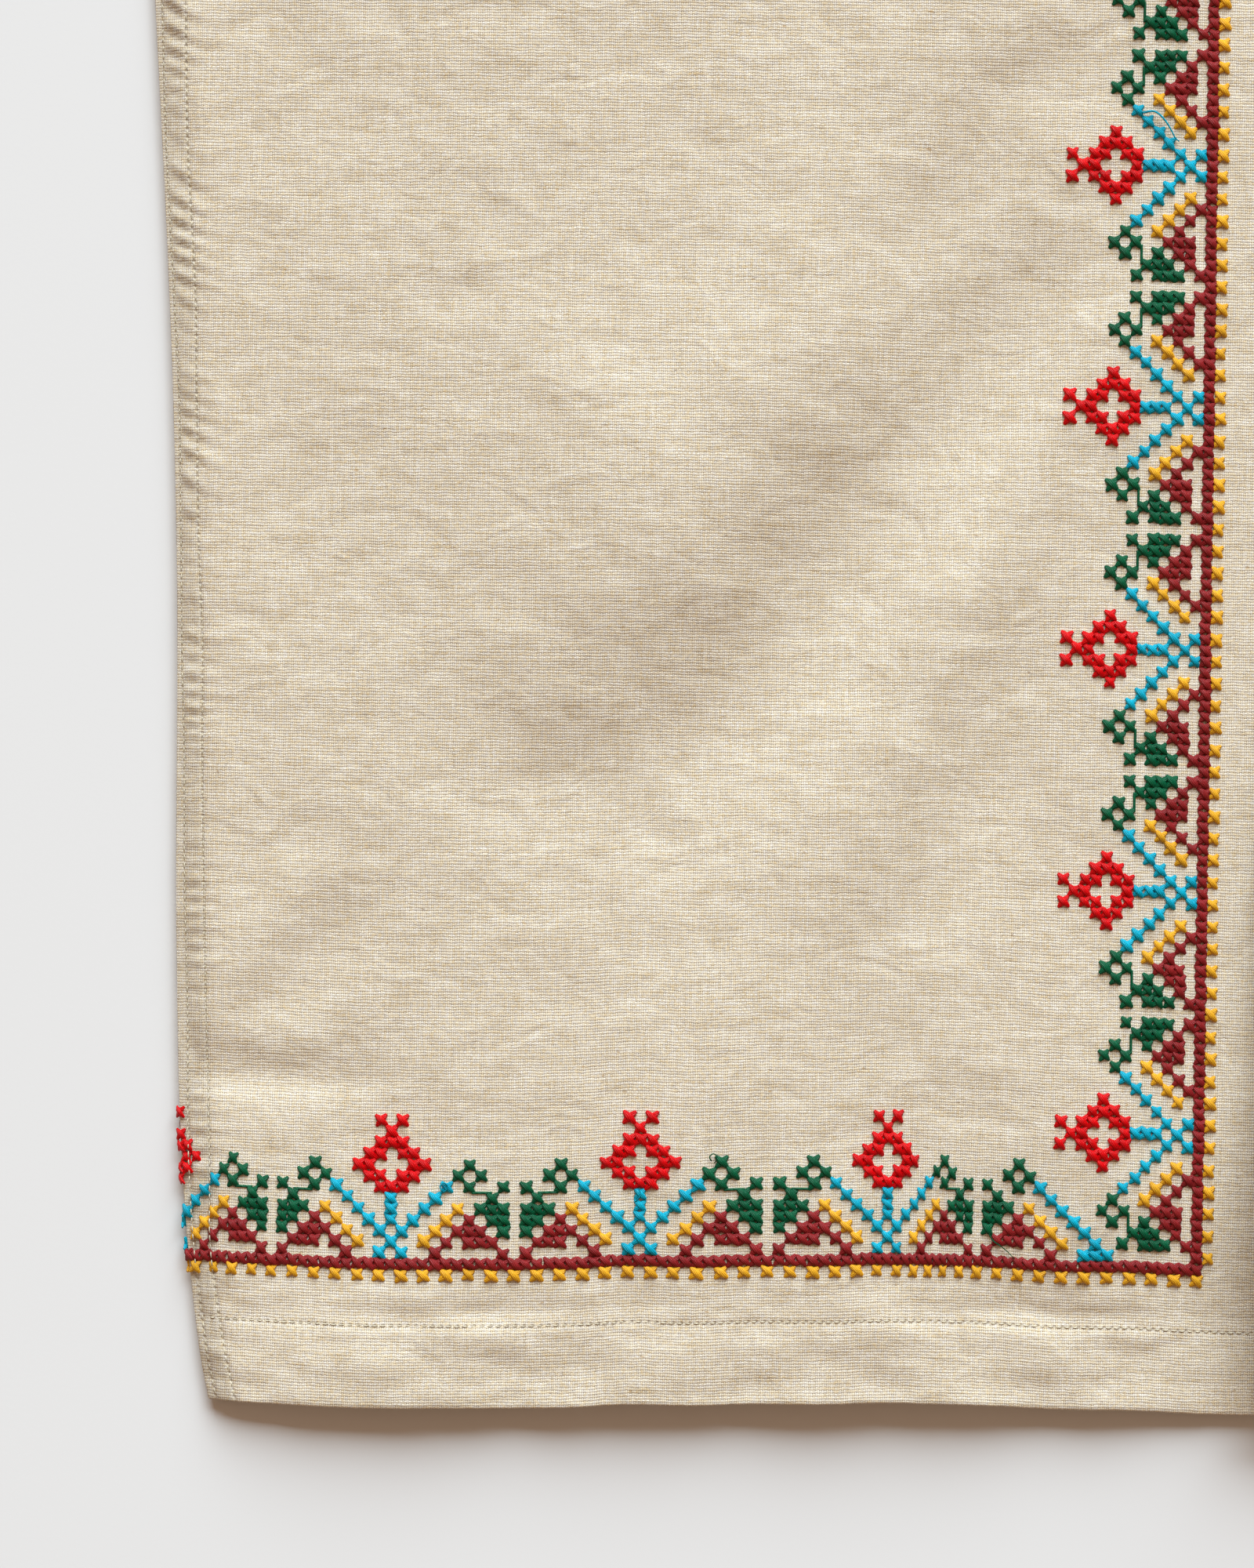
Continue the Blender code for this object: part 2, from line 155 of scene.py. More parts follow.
# the lower edge wanders: x and rise of the cloth there, in millimetres
HEM_DRIFT = {
    "x": (-256, -253, -238.7, -222.5, -202.7, -181, -170, -159.5, -145, -130.7, -114.5,
          -102, -87.5, -73, -62, -44, -30, -15.5, 0),
    "rise": (-0.3, -0.4, -0.8, -1.3, -1.2, -0.9, -0.4, 0.4, 0.2, 0.8, 1.0,
             1.5, 1.4, 1.0, 0.4, 0.3, -0.4, -0.7, -0.7),
}

# the side seam's two rows of stitches: their distance from the side edge, in millimetres,
# at heights up the shirt; the seam is rolled round the edge by a different amount at each
SEAM_ROWS = {
    "h": (0, 36, 54, 90, 117, 153, 171, 198, 234, 252, 288, 324, 445),
    "outer": (2.0, 1.5, 1.7, 2.4, 2.0, 1.6, 1.1, 1.1, 1.4, 1.1, 0.9, 1.6, 1.4),
    "inner": (6.5, 5.4, 6.6, 6.7, 6.5, 5.9, 5.9, 5.2, 5.6, 6.1, 5.9, 7.2, 6.4),
}

# how far the hem stands off the surface, beyond the rest of the cloth, in millimetres
HEM_LIFT = {
    "x": (-256, -240, -231, -200, -177, -140, -105, -75, -51, -30, 0),
    "rise": (0.2, 2.0, 2.7, 1.4, -0.4, -0.6, -0.6, -1.2, -2.1, -2.4, -3.0),
}

# one half of the border's repeat, as (stitch along from the flower's middle, row away
# from the maroon line); the other half mirrors it
CHART = {
    "red": ((0, 7), (1, 7), (1, 8), (2, 8), (2, 9), (3, 9), (1, 10), (2, 10), (0, 11),
            (1, 11), (0, 12), (1, 13)),
    "turquoise": ((1, 1), (0, 2), (1, 3), (0, 4), (0, 5), (0, 6), (2, 4), (3, 5), (4, 6),
                  (5, 7)),
    "green": ((6, 8), (7, 9), (7, 7), (8, 8), (8, 5), (9, 4), (9, 5), (9, 6), (10, 3),
              (10, 4), (10, 5), (10, 7)),
    "yellow": ((6, 5), (5, 4), (4, 3), (3, 2)),
    "maroon": ((4, 1), (5, 2), (6, 3), (7, 2), (7, 3), (7, 4), (8, 2), (8, 3), (9, 2),
               (10, 1)),
}
REPEAT, HALF_REPEAT = 22, 11
# stitches counted from the corner, and where they fall in millimetres
HEM_COUNT = {"count": (0, 20, 31, 53, 75, 86, 97),
             "x": (29.3, 79.8, 100.5, 157.2, 214.3, 241.6, 265.9)}
EDGE_COUNT = {"count": (0, 12, 276), "h": (33.3, 63.9, 729.9)}
# the last one below the neck
EDGE_LAST = 237
HEM_LINE_H, EDGE_LINE_X = 0.0331, 0.0293
HEM_FLOWERS, EDGE_FLOWERS = (31, 53, 75, 97), tuple(range(12, 245, REPEAT))
CORNER_PLANT = 9

# loose thread ends left on the face: colour, radius, height above the cloth, then (x, h),
# all in millimetres
LOOSE_ENDS = (
    ("turquoise", 0.26, 1.1, ((-45.6, 297.9), (-43.0, 298.2), (-41.3, 297.1), (-39.8, 295.3),
                              (-38.7, 293.5), (-38.0, 292.3), (-37.0, 291.5))),
    ("turquoise", 0.22, 0.9, ((-202.6, 49.8), (-203.0, 51.0), (-202.2, 51.8), (-201.3, 51.2),
                              (-201.6, 50.1), (-202.4, 49.7))),
    ("turquoise", 0.14, 0.8, ((-158.2, 46.6), (-157.4, 47.6), (-157.1, 48.8), (-157.6, 49.6))),
    ("green", 0.16, 0.7, ((-141.0, 56.2), (-141.4, 57.2), (-140.6, 57.9), (-139.8, 57.3),
                          (-139.9, 56.3), (-140.4, 55.7))),
    ("green", 0.16, 0.6, ((-77.6, 40.6), (-76.4, 38.2), (-75.0, 37.2), (-73.3, 36.0),
                          (-71.0, 33.9))),
)


def length(name, text, value):
    return FloatProperty(name=name, description=text, default=value, unit="LENGTH")


def hex_value(name, text, value):
    return StringProperty(name=name, description="sRGB colour of " + text, default=value)


class ClothSettings(bpy.types.PropertyGroup):
    thickness: length("Thickness", "Thickness of one layer of linen", 0.0009)
    warp_pitch: length("Warp pitch", "Distance between upright threads", 0.00050)
    weft_pitch: length("Weft pitch", "Distance between crosswise threads", 0.00066)
    fold_scale: FloatProperty(name="Fold height", description="Multiplies the height of the soft folds",
                              default=1.0, subtype="FACTOR")
    light_hex: hex_value("Light thread", "the palest linen thread", "#FBF3E4")
    dark_hex: hex_value("Dark thread", "the darkest linen thread", "#CBB48D")
    # also the colour that the painted shade of the seam band and the stitch dents goes towards
    gap_hex: hex_value("Gap", "the gaps between the threads", "#6E5B43")
    fleck_hex: hex_value("Fleck", "the flecks of bark in the yarn", "#A9834F")


class StitchSettings(bpy.types.PropertyGroup):
    stitch: length("Stitch", "Side of one cross stitch", 0.00252)
    strand: length("Strand width", "Width of one leg of a cross", 0.00164)
    row_edge: length("Row height, opening", "Row spacing of the border beside the opening", 0.00246)
    row_hem: length("Row height, hem", "Row spacing of the border along the hem", 0.00252)
    seam_stitch: length("Machine stitch", "Length of one machine stitch", 0.0019)
    red_hex: hex_value("Red", "the flowers", "#E8000A")
    yellow_hex: hex_value("Yellow", "the squares and sprigs", "#FFBA2A")
    green_hex: hex_value("Green", "the buds and leaves", "#005F3C")
    turquoise_hex: hex_value("Turquoise", "the plants", "#00B4D2")
    maroon_hex: hex_value("Maroon", "the line and the mounds", "#9A2426")
    thread_hex: hex_value("Sewing thread", "the machine stitching", "#E6DAC0")


class TrimSettings(bpy.types.PropertyGroup):
    collar_tall: length("Collar", "Height of the stand collar", 0.032)
    collar_wall: length("Collar wall", "Thickness of the stand collar", 0.0020)
    hole_pitch: length("Hole pitch", "Distance between a button's holes", 0.0026)
    button_hex: hex_value("Button", "the buttons", "#CDBE9F")
    floor_hex: hex_value("Floor", "the surface below", "#E6E6E6")


def cloth_settings():
    return bpy.context.scene.shirt_cloth


def stitch_settings():
    return bpy.context.scene.shirt_stitches


def trim_settings():
    return bpy.context.scene.shirt_trim


def linear(hex_colour):
    """An sRGB hex colour as linear red, green, blue and alpha."""
    values = [int(hex_colour[i:i + 2], 16) / 255.0 for i in (1, 3, 5)]
    return tuple(v / 12.92 if v <= 0.04045 else ((v + 0.055) / 1.055) ** 2.4 for v in values) + (1.0,)


def smooth(value, start, end):
    """0 before start and 1 past end, with a soft change between them."""
    t = np.clip((value - start) / (end - start), 0.0, 1.0)
    return t * t * (3.0 - 2.0 * t)


def hump(away, breadth):
    """1 at no distance, and nearly nothing past twice the breadth."""
    return np.exp(-(away / breadth) ** 2)


def quarter_round(share):
    """Height of a rounded edge at a share of its breadth."""
    return np.sqrt(np.clip(1.0 - (1.0 - np.clip(share, 0.0, 1.0)) ** 2, 0.0, 1.0))


def unit(rows):
    """The vectors in the rows at length one."""
    return rows / np.linalg.norm(rows, axis=1)[:, None]


def lengths_along(path):
    """Length along a path to each of its points."""
    return np.concatenate([[0.0], np.cumsum(np.linalg.norm(np.diff(path, axis=0), axis=1))])


def ripple(x, h, wavelength, seed, waves=10):
    """Smooth wandering field between about -1 and 1."""
    rng = np.random.default_rng(seed)
    total = np.zeros(np.broadcast(x, h).shape)
    for _ in range(waves):
        angle = rng.uniform(0.0, 2.0 * math.pi)
        k = 2.0 * math.pi / (wavelength * rng.uniform(0.75, 1.5))
        total += np.sin(k * (x * math.cos(angle) + h * math.sin(angle)) + rng.uniform(0.0, 6.28))
    return total / math.sqrt(0.5 * waves) / 1.6


def smooth_table(value, keys, numbers):
    """Cubic through a table's points, without overshoot."""
    keys, numbers = np.array(keys, float), np.array(numbers, float)
    slopes = np.diff(numbers) / np.diff(keys)
    tangents = np.concatenate([slopes[:1], 0.5 * (slopes[1:] + slopes[:-1]), slopes[-1:]])
    place = np.clip(np.searchsorted(keys, value, side="right") - 1, 0, len(keys) - 2)
    span = keys[place + 1] - keys[place]
    t = np.clip((value - keys[place]) / span, 0.0, 1.0)
    a, b = numbers[place], numbers[place + 1]
    p, q = tangents[place] * span, tangents[place + 1] * span
    return ((2 * t ** 3 - 3 * t ** 2 + 1) * a + (t ** 3 - 2 * t ** 2 + t) * p
            + (3 * t ** 2 - 2 * t ** 3) * b + (t ** 3 - t ** 2) * q)


def resample(at, keys, rows, curve=smooth_table):
    """Each column of the rows, known at the keys, read off at other places."""
    return np.stack([curve(at, keys, column) for column in rows.T], axis=1)


def half_width(h):
    h = np.asarray(h, float)
    body = smooth_table(np.minimum(h, ARMPIT_H), SIDE["height"], SIDE["half"])
    arm = np.interp(h, ARMHOLE["height"], ARMHOLE["half"])
    return np.where(h <= ARMPIT_H, body, arm)


def neck_edge(x, drop):
    """Height h of the shoulder and neck line."""
    ax = np.abs(x)
    slope = (NECK_H - SHOULDER_H) / (SHOULDER_HALF - NECK_HALF)
    shoulder = NECK_H - (ax - NECK_HALF) * slope
    neck = NECK_H - drop * (1.0 - np.minimum(ax / NECK_HALF, 1.0) ** NECK_POWER)
    return np.where(ax >= NECK_HALF, shoulder, neck)


def rim_distance(x, h, drop):
    """Distance to the side fold or shoulder fold, large along armhole and neck."""
    ax = np.abs(x)
    far = 0.05
    side = half_width(h) - ax + far * smooth(h, ARMPIT_H - 0.022, ARMPIT_H - 0.002)
    top = (neck_edge(x, drop) - h) * 0.96
    top = top + far * (1.0 - smooth(ax, NECK_HALF - 0.006, NECK_HALF + 0.004))
    top = top + far * smooth(ax, SHOULDER_HALF - 0.012, SHOULDER_HALF)
    return np.minimum(side, top)


def fold_line(x, h, line):
    """One fold: its rise fades across with the distance to its crest line."""
    value, nearest = np.zeros(x.shape), np.full(x.shape, np.inf)
    for (from_x, from_h, from_rise, near), (to_x, to_h, to_rise, far) in zip(line[:-1], line[1:]):
        run_x, run_h = to_x - from_x, to_h - from_h
        t = ((x - from_x) * run_x + (h - from_h) * run_h) / (run_x ** 2 + run_h ** 2)
        t = np.clip(t, 0.0, 1.0)
        breadth = near + t * (far - near)
        away = np.hypot(x - from_x - t * run_x, h - from_h - t * run_h) / breadth
        rise = (from_rise + t * (to_rise - from_rise)) * hump(away, 1.0)
        value = np.where(away < nearest, rise, value)
        nearest = np.minimum(away, nearest)
    return value


def folds(x, h, side):
    """Height of the soft folds and creases of one front; the left one's are weaker."""
    left = side > 0
    x, h = np.broadcast_arrays(-np.abs(x), np.asarray(h, float))
    total = np.zeros(x.shape)
    for line in FOLDS:
        if left:
            line = [(0.95 * a, 0.88 * b + 9.0, 0.8 * rise, breadth) for a, b, rise, breadth in line]
        total += MM * fold_line(x / MM, h / MM, line)
    seed = 40 if left else 10
    edge = half_width(h) + x
    total += 0.00040 * ripple(x, 0.7 * h, 0.050, seed) * smooth(edge, 0.0, 0.04)
    lively = 0.6 + 1.7 * (1.0 - smooth(h, 0.018, 0.034))
    total += 0.00016 * ripple(0.85 * x, h, 0.018, seed + 1) * lively
    total += 0.00009 * ripple(0.8 * x, h, 0.0085, seed + 2) * lively
    fade = smooth(-x, 0.012, 0.060) if left else smooth(-x, 0.010, 0.045)
    chest = 0.0012 * ripple(0.8 * x, h, 0.11, seed + 3) * smooth(h, 0.34, 0.42)
    return (total + chest) * fade * (1.0 - 0.7 * smooth(h, 0.56, 0.64)) * cloth_settings().fold_scale


def seam_row(h, name):
    return smooth_table(np.asarray(h) / MM, SEAM_ROWS["h"], SEAM_ROWS[name]) * MM


def seam_relief(edge, h, seed):
    """The felled side seam: a doubled band that its two rows of stitches pucker."""
    outer, inner = seam_row(h, "outer"), seam_row(h, "inner")
    inside = smooth(edge, outer - 0.0004, outer + 0.0004)
    inside = inside - smooth(edge, inner - 0.0005, inner + 0.0002)
    middle = np.clip((edge - outer) / (inner - outer), 0.0, 1.0)
    slant = 0.55 * smooth(h, 0.12, 0.25)
    wander = 0.30 * np.sin(h / 0.0061 + seed) + 0.25 * np.sin(h / 0.0137 + 2.0 * seed)
    phase = 2.0 * math.pi * ((h + slant * edge) / 0.0053 + np.minimum(h, 0.18) / 0.0160 + wander)
    wave = np.sin(phase + 0.7 * np.sin(phase))
    uneven = 0.55 + 0.40 * np.sin(h / 0.0083 + 2.0 * seed)
    uneven = uneven * (0.30 + 0.70 * smooth(h, 0.016, 0.040)) * (0.72 + 0.55 * smooth(h, 0.14, 0.29))
    pillow = np.sin(math.pi * middle) ** 0.6
    band = 0.00026 + (0.00026 + 0.00056 * wave * uneven) * pillow
    beyond = hump(edge - inner - 0.0006, 0.0032) * smooth(edge, inner - 0.0003, inner + 0.0006)
    lip = hump(edge - 0.4 * outer, 0.4 * outer)
    rows = hump(edge - outer, 0.00045) + hump(edge - inner, 0.00045)
    relief = inside * band + 0.00030 * wave * uneven * beyond + 0.00022 * wave * lip - 0.00018 * rows
    return relief * (1.0 - smooth(h, ARMPIT_H - 0.012, ARMPIT_H))


def hem_relief(x, h, seed):
    """The turned hem: a thicker band with a furrow at its row of stitches."""
    band = 1.0 - smooth(h, HEM_DEPTH - 0.0008, HEM_DEPTH + 0.0035)
    furrow = hump(h - HEM_DEPTH, 0.0008)
    pull = hump(h - HEM_DEPTH, 0.004) * ripple(x, 0.3 * h, 0.0065, seed + 1)
    swell = hump(h - 0.010, 0.006) * ripple(x, 0.3 * h, 0.016, seed + 2)
    return 0.00045 * band - 0.00026 * furrow + 0.00012 * pull + 0.00018 * swell


def front_height(x, h, side):
    """Height of a front's upper face, as if the other front weren't there."""
    curve = quarter_round(rim_distance(x, h, FRONT_DROP) / ROLL)
    seam = half_width(h) - np.abs(x)
    belly = 0.0016 + 0.0020 * smooth(np.abs(x), 0.018, 0.055)
    belly = belly * smooth(seam, 0.012, 0.110) * smooth(h, 0.62, 0.48)
    lean = 0.0021 * (1.0 - smooth(seam, 0.0004, 0.0100)) * (h < ARMPIT_H)
    level = FRONT_TOP + belly - lean + folds(x, h, side)
    level = level + seam_relief(seam, h, 3.0 if side > 0 else 0.4)
    level = level + hem_relief(x, h, 60 if side > 0 else 20)
    lift = smooth_table(-np.abs(x) / MM, HEM_LIFT["x"], HEM_LIFT["rise"])
    # a raised part starts to fall at the edge itself, a low one only past the hem
    level = level + lift * MM * (1.0 - smooth(h, np.where(lift > 0.0, 0.0, 0.012), 0.062))
    level = np.maximum(level, LOWEST_FACE)
    droop = 0.0004 * (1.0 - quarter_round(h / 0.0008))
    return RIM_Z + (level - RIM_Z) * curve - droop


def lying_height(x, h, side):
    """Height of a front as it lies: the left one laps over the right one at the opening."""
    plain = front_height(x, h, side)
    if side < 0:
        return plain
    under = front_height(np.minimum(x, PLACKET_HALF), h, -1)
    lift = 1.0 - smooth(x, PLACKET_HALF + 0.002, OVERLAP_END)
    round_off = 0.0005 * (1.0 - quarter_round((x + PLACKET_HALF) / 0.0009))
    # the corner stands off below the lowest button, which holds the middle down
    held = hump(h - BUTTON_HEIGHTS[-1], 0.024)
    curl = (1.0 - smooth(h, 0.030, 0.170)) * (1.0 - smooth(x, -0.014, 0.032 - 0.0375 * held))
    curl = curl * (0.62 + 0.38 * smooth(h, 0.0, 0.030)) * (1.0 - 0.3 * held)
    loose = 0.0008 * (1.0 - smooth(h, 0.10, 0.25)) * (1.0 - smooth(x, -0.014, -0.006))
    over = under + 0.0020 + 0.0115 * curl + loose
    for button in BUTTON_HEIGHTS:
        over = over - 0.0004 * hump(np.hypot(x, h - button), 0.006)
    return plain + (over - plain) * lift - round_off * (x < 0.0)


def cloth_points(x, h, height, drift=1.0):
    """World points of cloth at x and h, which wanders up or down near the hem."""
    rise = smooth_table(-np.abs(x) / MM, HEM_DRIFT["x"], HEM_DRIFT["rise"])
    wander = rise * MM * (1.0 - smooth(h, 0.05, 0.20))
    return np.stack([x, h + drift * wander - ORIGIN_HEIGHT, height], axis=-1)


def front_point(x, h, side):
    """World points on a front; a cloth x past the side's roll goes round it."""
    x, h = np.broadcast_arrays(np.asarray(x, float), np.asarray(h, float))
    rolled_from = half_width(h) - ROLL
    turn = np.clip((np.abs(x) - rolled_from) / ROLL, 0.0, 2.6)
    turn = np.where(h < ARMPIT_H - 0.02, turn, 0.0)
    rolled = turn > 0.0
    height = lying_height(np.where(rolled, np.sign(x) * rolled_from, x), h, side)
    height = np.where(rolled, RIM_Z + (height - RIM_Z) * np.cos(turn), height)
    points = cloth_points(x, h, height)
    points[..., 0] = np.where(rolled, np.sign(x) * (rolled_from + ROLL * np.sin(turn)), x)
    return points


def plug(tree, made, links):
    """Puts values or other nodes into a node's sockets, by name, by number or in their order."""
    for key, source in links.items() if isinstance(links, dict) else enumerate(links):
        if isinstance(source, bpy.types.Node):
            source = next(socket for socket in source.outputs if socket.enabled)
        if isinstance(source, bpy.types.NodeSocket):
            tree.links.new(source, made.inputs[key])
        else:
            made.inputs[key].default_value = source


def node(tree, kind, links=(), **settings):
    """Adds a node with its settings and links; a kind in capitals is a Math node's operation."""
    if kind.isupper():
        kind, settings = "ShaderNodeMath", {"operation": kind}
    made = tree.nodes.new(kind)
    for name, value in settings.items():
        setattr(made, name, value)
    plug(tree, made, links)
    return made


def new_material(name):
    """A material, what adds nodes to it, and what fills its shader's sockets."""
    made = bpy.data.materials.new(name)
    made.use_nodes = True
    tree = made.node_tree
    shader = tree.nodes["Principled BSDF"]
    return made, functools.partial(node, tree), functools.partial(plug, tree, shader)


def linen_material(name):
    """Unbleached linen, plain-woven from uneven flax yarn: matt, with thick and thin
    crosswise threads, tiny dark gaps between the threads and no sheen to speak of."""
    cloth = cloth_settings()
    made, new, coat = new_material(name)
    spot = new("ShaderNodeUVMap", uv_map="cloth")
    u, v = new("ShaderNodeSeparateXYZ", [spot]).outputs[:2]
    wander = new("ShaderNodeTexNoise", {"Vector": spot, "Scale": 330.0, "Detail": 2.0})
    shift = new("MULTIPLY", (new("SUBTRACT", (wander, 0.5)), 0.85))
    # real threads lie 0.42 by 0.55 mm apart; these are 1.2 times as coarse, so that they show
    sines = []
    for part, pitch in ((u, cloth.warp_pitch), (v, cloth.weft_pitch)):
        counted = new("ADD", (new("MULTIPLY", (part, 1.0 / pitch)), shift))
        sines.append(new("SINE", [new("MULTIPLY", (counted, math.pi))]))
    over = new("MULTIPLY", (new("MULTIPLY", sines), 0.42))
    round_warp, round_weft = (new("POWER", (new("ABSOLUTE", [sine]), 0.55)) for sine in sines)
    warp = new("MULTIPLY", (round_warp, new("ADD", (0.55, over))))
    weft = new("MULTIPLY", (round_weft, new("SUBTRACT", (0.60, over))))
    height = new("MAXIMUM", (warp, weft))

    def streaks(along_u, along_v, seed=0.0, **more):
        """Noise drawn out by its own amount along each direction of the threads."""
        lie = new("ShaderNodeMapping", {"Vector": spot, "Scale": (along_u, along_v, 1.0),
                                        "Location": (seed, seed, 0.0)})
        return new("ShaderNodeTexNoise", {"Vector": lie, "Scale": 1.0, "Detail": 2.0} | more)

    weft_tint = streaks(130.0, 0.9 / cloth.weft_pitch, 3.0, Roughness=0.6)
    warp_tint = streaks(0.9 / cloth.warp_pitch, 90.0, 9.0, Roughness=0.6)
    on_top = new("GREATER_THAN", (weft, warp))
    tint = new("ShaderNodeMix", {0: on_top, 2: warp_tint, 3: weft_tint})
    tint = new("ShaderNodeMapRange", (tint, 0.30, 0.72))
    slub = new("ShaderNodeMapRange", (streaks(60.0, 1000.0, 5.0, Roughness=0.6), 0.50, 0.74))
    cloud = new("ShaderNodeMapRange", (streaks(150.0, 230.0, 7.0, Roughness=0.6), 0.35, 0.75))
    darkness = new("ADD", (new("MULTIPLY", (tint, 0.62)), new("MULTIPLY", (slub, 0.22))))
    darkness = new("ADD", (darkness, new("MULTIPLY", (cloud, 0.22))))
    # a few brown flecks of bark stay in hand-dressed flax
    fleck = new("ShaderNodeMapRange", (streaks(420.0, 760.0, Detail=1.0), 0.735, 0.80, 0.0, 0.55))
    yarn = linear(cloth.light_hex)
    for share, hex_colour in ((darkness, cloth.dark_hex), (fleck, cloth.fleck_hex)):
        yarn = new("ShaderNodeMix", {0: share, 6: yarn, 7: linear(hex_colour)}, data_type="RGBA")
    # and the yarn goes from warm to cool along its length
    cast = new("ShaderNodeTexNoise", {"Vector": spot, "Scale": 1200.0, "Detail": 1.0})
    cast = new("ShaderNodeMapRange", (cast, 0.36, 0.64))
    cast = new("ShaderNodeMix", {0: cast, 6: linear(COOL_CAST), 7: linear(WARM_CAST)}, data_type="RGBA")
    yarn = new("ShaderNodeMix", {0: 1.0, 6: yarn, 7: cast}, data_type="RGBA", blend_type="SOFT_LIGHT")
    seam = new("ShaderNodeUVMap", uv_map="seam")
    outer, inner = new("ShaderNodeSeparateXYZ", [seam]).outputs[:2]
    pitch = stitch_settings().seam_stitch

    def pits(across, along):
        """Small dents where a row of machine stitches goes down into the cloth."""
        share = new("SUBTRACT", (new("FRACT", [new("MULTIPLY", (along, 1.0 / pitch))]), 0.5))
        away = new("ShaderNodeCombineXYZ", (across, new("MULTIPLY", (share, pitch))))
        away = new("ShaderNodeVectorMath", [away], operation="LENGTH")
        return new("ShaderNodeMapRange", (away, 0.00012, 0.00052, 1.0, 0.0))

    hem_pits = pits(new("SUBTRACT", (v, HEM_DEPTH)), u)
    dents = new("MAXIMUM", (hem_pits, new("MAXIMUM", (pits(outer, v), pits(inner, v)))))
    solid = new("ShaderNodeMapRange", (height, 0.22, 0.62))
    specks = new("ShaderNodeTexNoise", {"Vector": spot, "Scale": 1100.0, "Detail": 1.0})
    filled = new("MAXIMUM", (solid, new("ShaderNodeMapRange", (specks, 0.35, 0.62, 0.0, 0.75))))
    colour = new("ShaderNodeMix", {0: filled, 6: linear(cloth.gap_hex), 7: yarn}, data_type="RGBA")
    # painted shade: the felled seam's band, more of it low down by the hem, and the dents of the machine
    # stitches are darkened towards the gap colour
    fell = new("ShaderNodeMapRange", (inner, -0.0002, 0.0008, 1.0, 0.0))
    turned = new("ShaderNodeMapRange", (v, 0.024, 0.030, 0.24, 0.15))
    shade = new("MAXIMUM", (new("MULTIPLY", (fell, turned)), new("MULTIPLY", (dents, 0.36))))
    painted_shade_colour = new("ShaderNodeMix", {0: shade, 6: colour, 7: linear(cloth.gap_hex)}, data_type="RGBA")
    rumple = streaks(72.0, 84.0, Detail=3.0, Roughness=0.5, Distortion=0.7)
    soft = new("ShaderNodeBump", {"Height": rumple, "Distance": 0.0022, "Strength": 0.36})
    thread = new("ADD", (height, new("MULTIPLY", (slub, 0.24))))
    thread = new("SUBTRACT", (thread, new("MULTIPLY", (dents, 1.2))))
    bump = new("ShaderNodeBump", {"Height": thread, "Distance": 0.00016, "Strength": 0.75,
                                  "Normal": soft})
    coat({"Base Color": painted_shade_colour, "Normal": bump, "Roughness": 0.92, "Specular IOR Level": 0.25,
          "Sheen Weight": 0.03, "Sheen Roughness": 0.6})
    return made


def floss_material(name, hex_colour, dark=0.55, twist=2000.0):
    """Stranded cotton, mercerised: six loosely twisted strands, with a painted highlight along their ridges
    and painted shade between them, which go dark where they dip into the cloth."""
    made, new, coat = new_material(name)
    along, around = new("ShaderNodeSeparateXYZ", [new("ShaderNodeUVMap", uv_map="strand")]).outputs[:2]
    slant = new("ADD", (new("MULTIPLY", (along, twist)), new("MULTIPLY", (around, twist * 4.6))))
    place = new("ShaderNodeTexCoord").outputs["Object"]
    noise = new("ShaderNodeTexNoise", {"Vector": place, "Scale": 1300.0, "Detail": 3.0})
    slant = new("ADD", (slant, new("MULTIPLY", (noise, 4.5))))
    strands = new("ABSOLUTE", [new("SINE", [slant])])
    patch = new("ShaderNodeTexNoise", {"Vector": place, "Scale": 220.0, "Detail": 2.0})
    base = linear(hex_colour)
    # painted shade and highlight: a darker copy of the colour, and a lighter share of the base along each
    # strand's ridge, stronger in random patches
    deep = tuple(c * dark for c in base[:3]) + (1.0,)
    light = new("ShaderNodeMapRange", (patch, 0.3, 0.7, 0.35, 1.0))
    ridge_highlight = new("MULTIPLY", (light, new("ShaderNodeMapRange", {0: strands, 3: 0.55})))
    colour = new("ShaderNodeMix", {0: ridge_highlight, 6: deep, 7: base}, data_type="RGBA")
    fibres = new("ADD", (strands, new("MULTIPLY", (noise, 1.1))))
    bump = new("ShaderNodeBump", {"Height": fibres, "Distance": 0.00014, "Strength": 0.7})
    coat({"Base Color": colour, "Normal": bump, "Roughness": 0.42, "Specular IOR Level": 0.20})
    return made


def horn_material(name):
    """Polyester button turned to look like pale horn: satin, with faint cloudy streaks."""
    made, new, coat = new_material(name)
    place = new("ShaderNodeTexCoord").outputs["Object"]
    lie = new("ShaderNodeMapping", {"Vector": place, "Scale": (60.0, 500.0, 60.0)})
    cloud = new("ShaderNodeTexNoise", {"Vector": lie, "Scale": 1.0, "Detail": 3.0, "Distortion": 1.0})
    base = linear(trim_settings().button_hex)
    deep = tuple(c * 0.6 for c in base[:3]) + (1.0,)
    ramp = new("ShaderNodeMapRange", (cloud, 0.35, 0.7))
    colour = new("ShaderNodeMix", {0: ramp, 6: base, 7: deep}, data_type="RGBA")
    bump = new("ShaderNodeBump", {"Height": cloud, "Distance": 0.00003, "Strength": 0.4})
    coat({"Base Color": colour, "Normal": bump, "Roughness": 0.38})
    return made


def floor_material(name):
    """Matt painted board, the pale ground of the photo."""
    made, new, coat = new_material(name)
    place = new("ShaderNodeTexCoord").outputs["Object"]
    grain = new("ShaderNodeTexNoise", {"Vector": place, "Scale": 900.0, "Detail": 2.0})
    bump = new("ShaderNodeBump", {"Height": grain, "Distance": 0.00002, "Strength": 0.3})
    coat({"Normal": bump, "Base Color": linear(trim_settings().floor_hex), "Roughness": 0.95,
          "Specular IOR Level": 0.1})
    return made


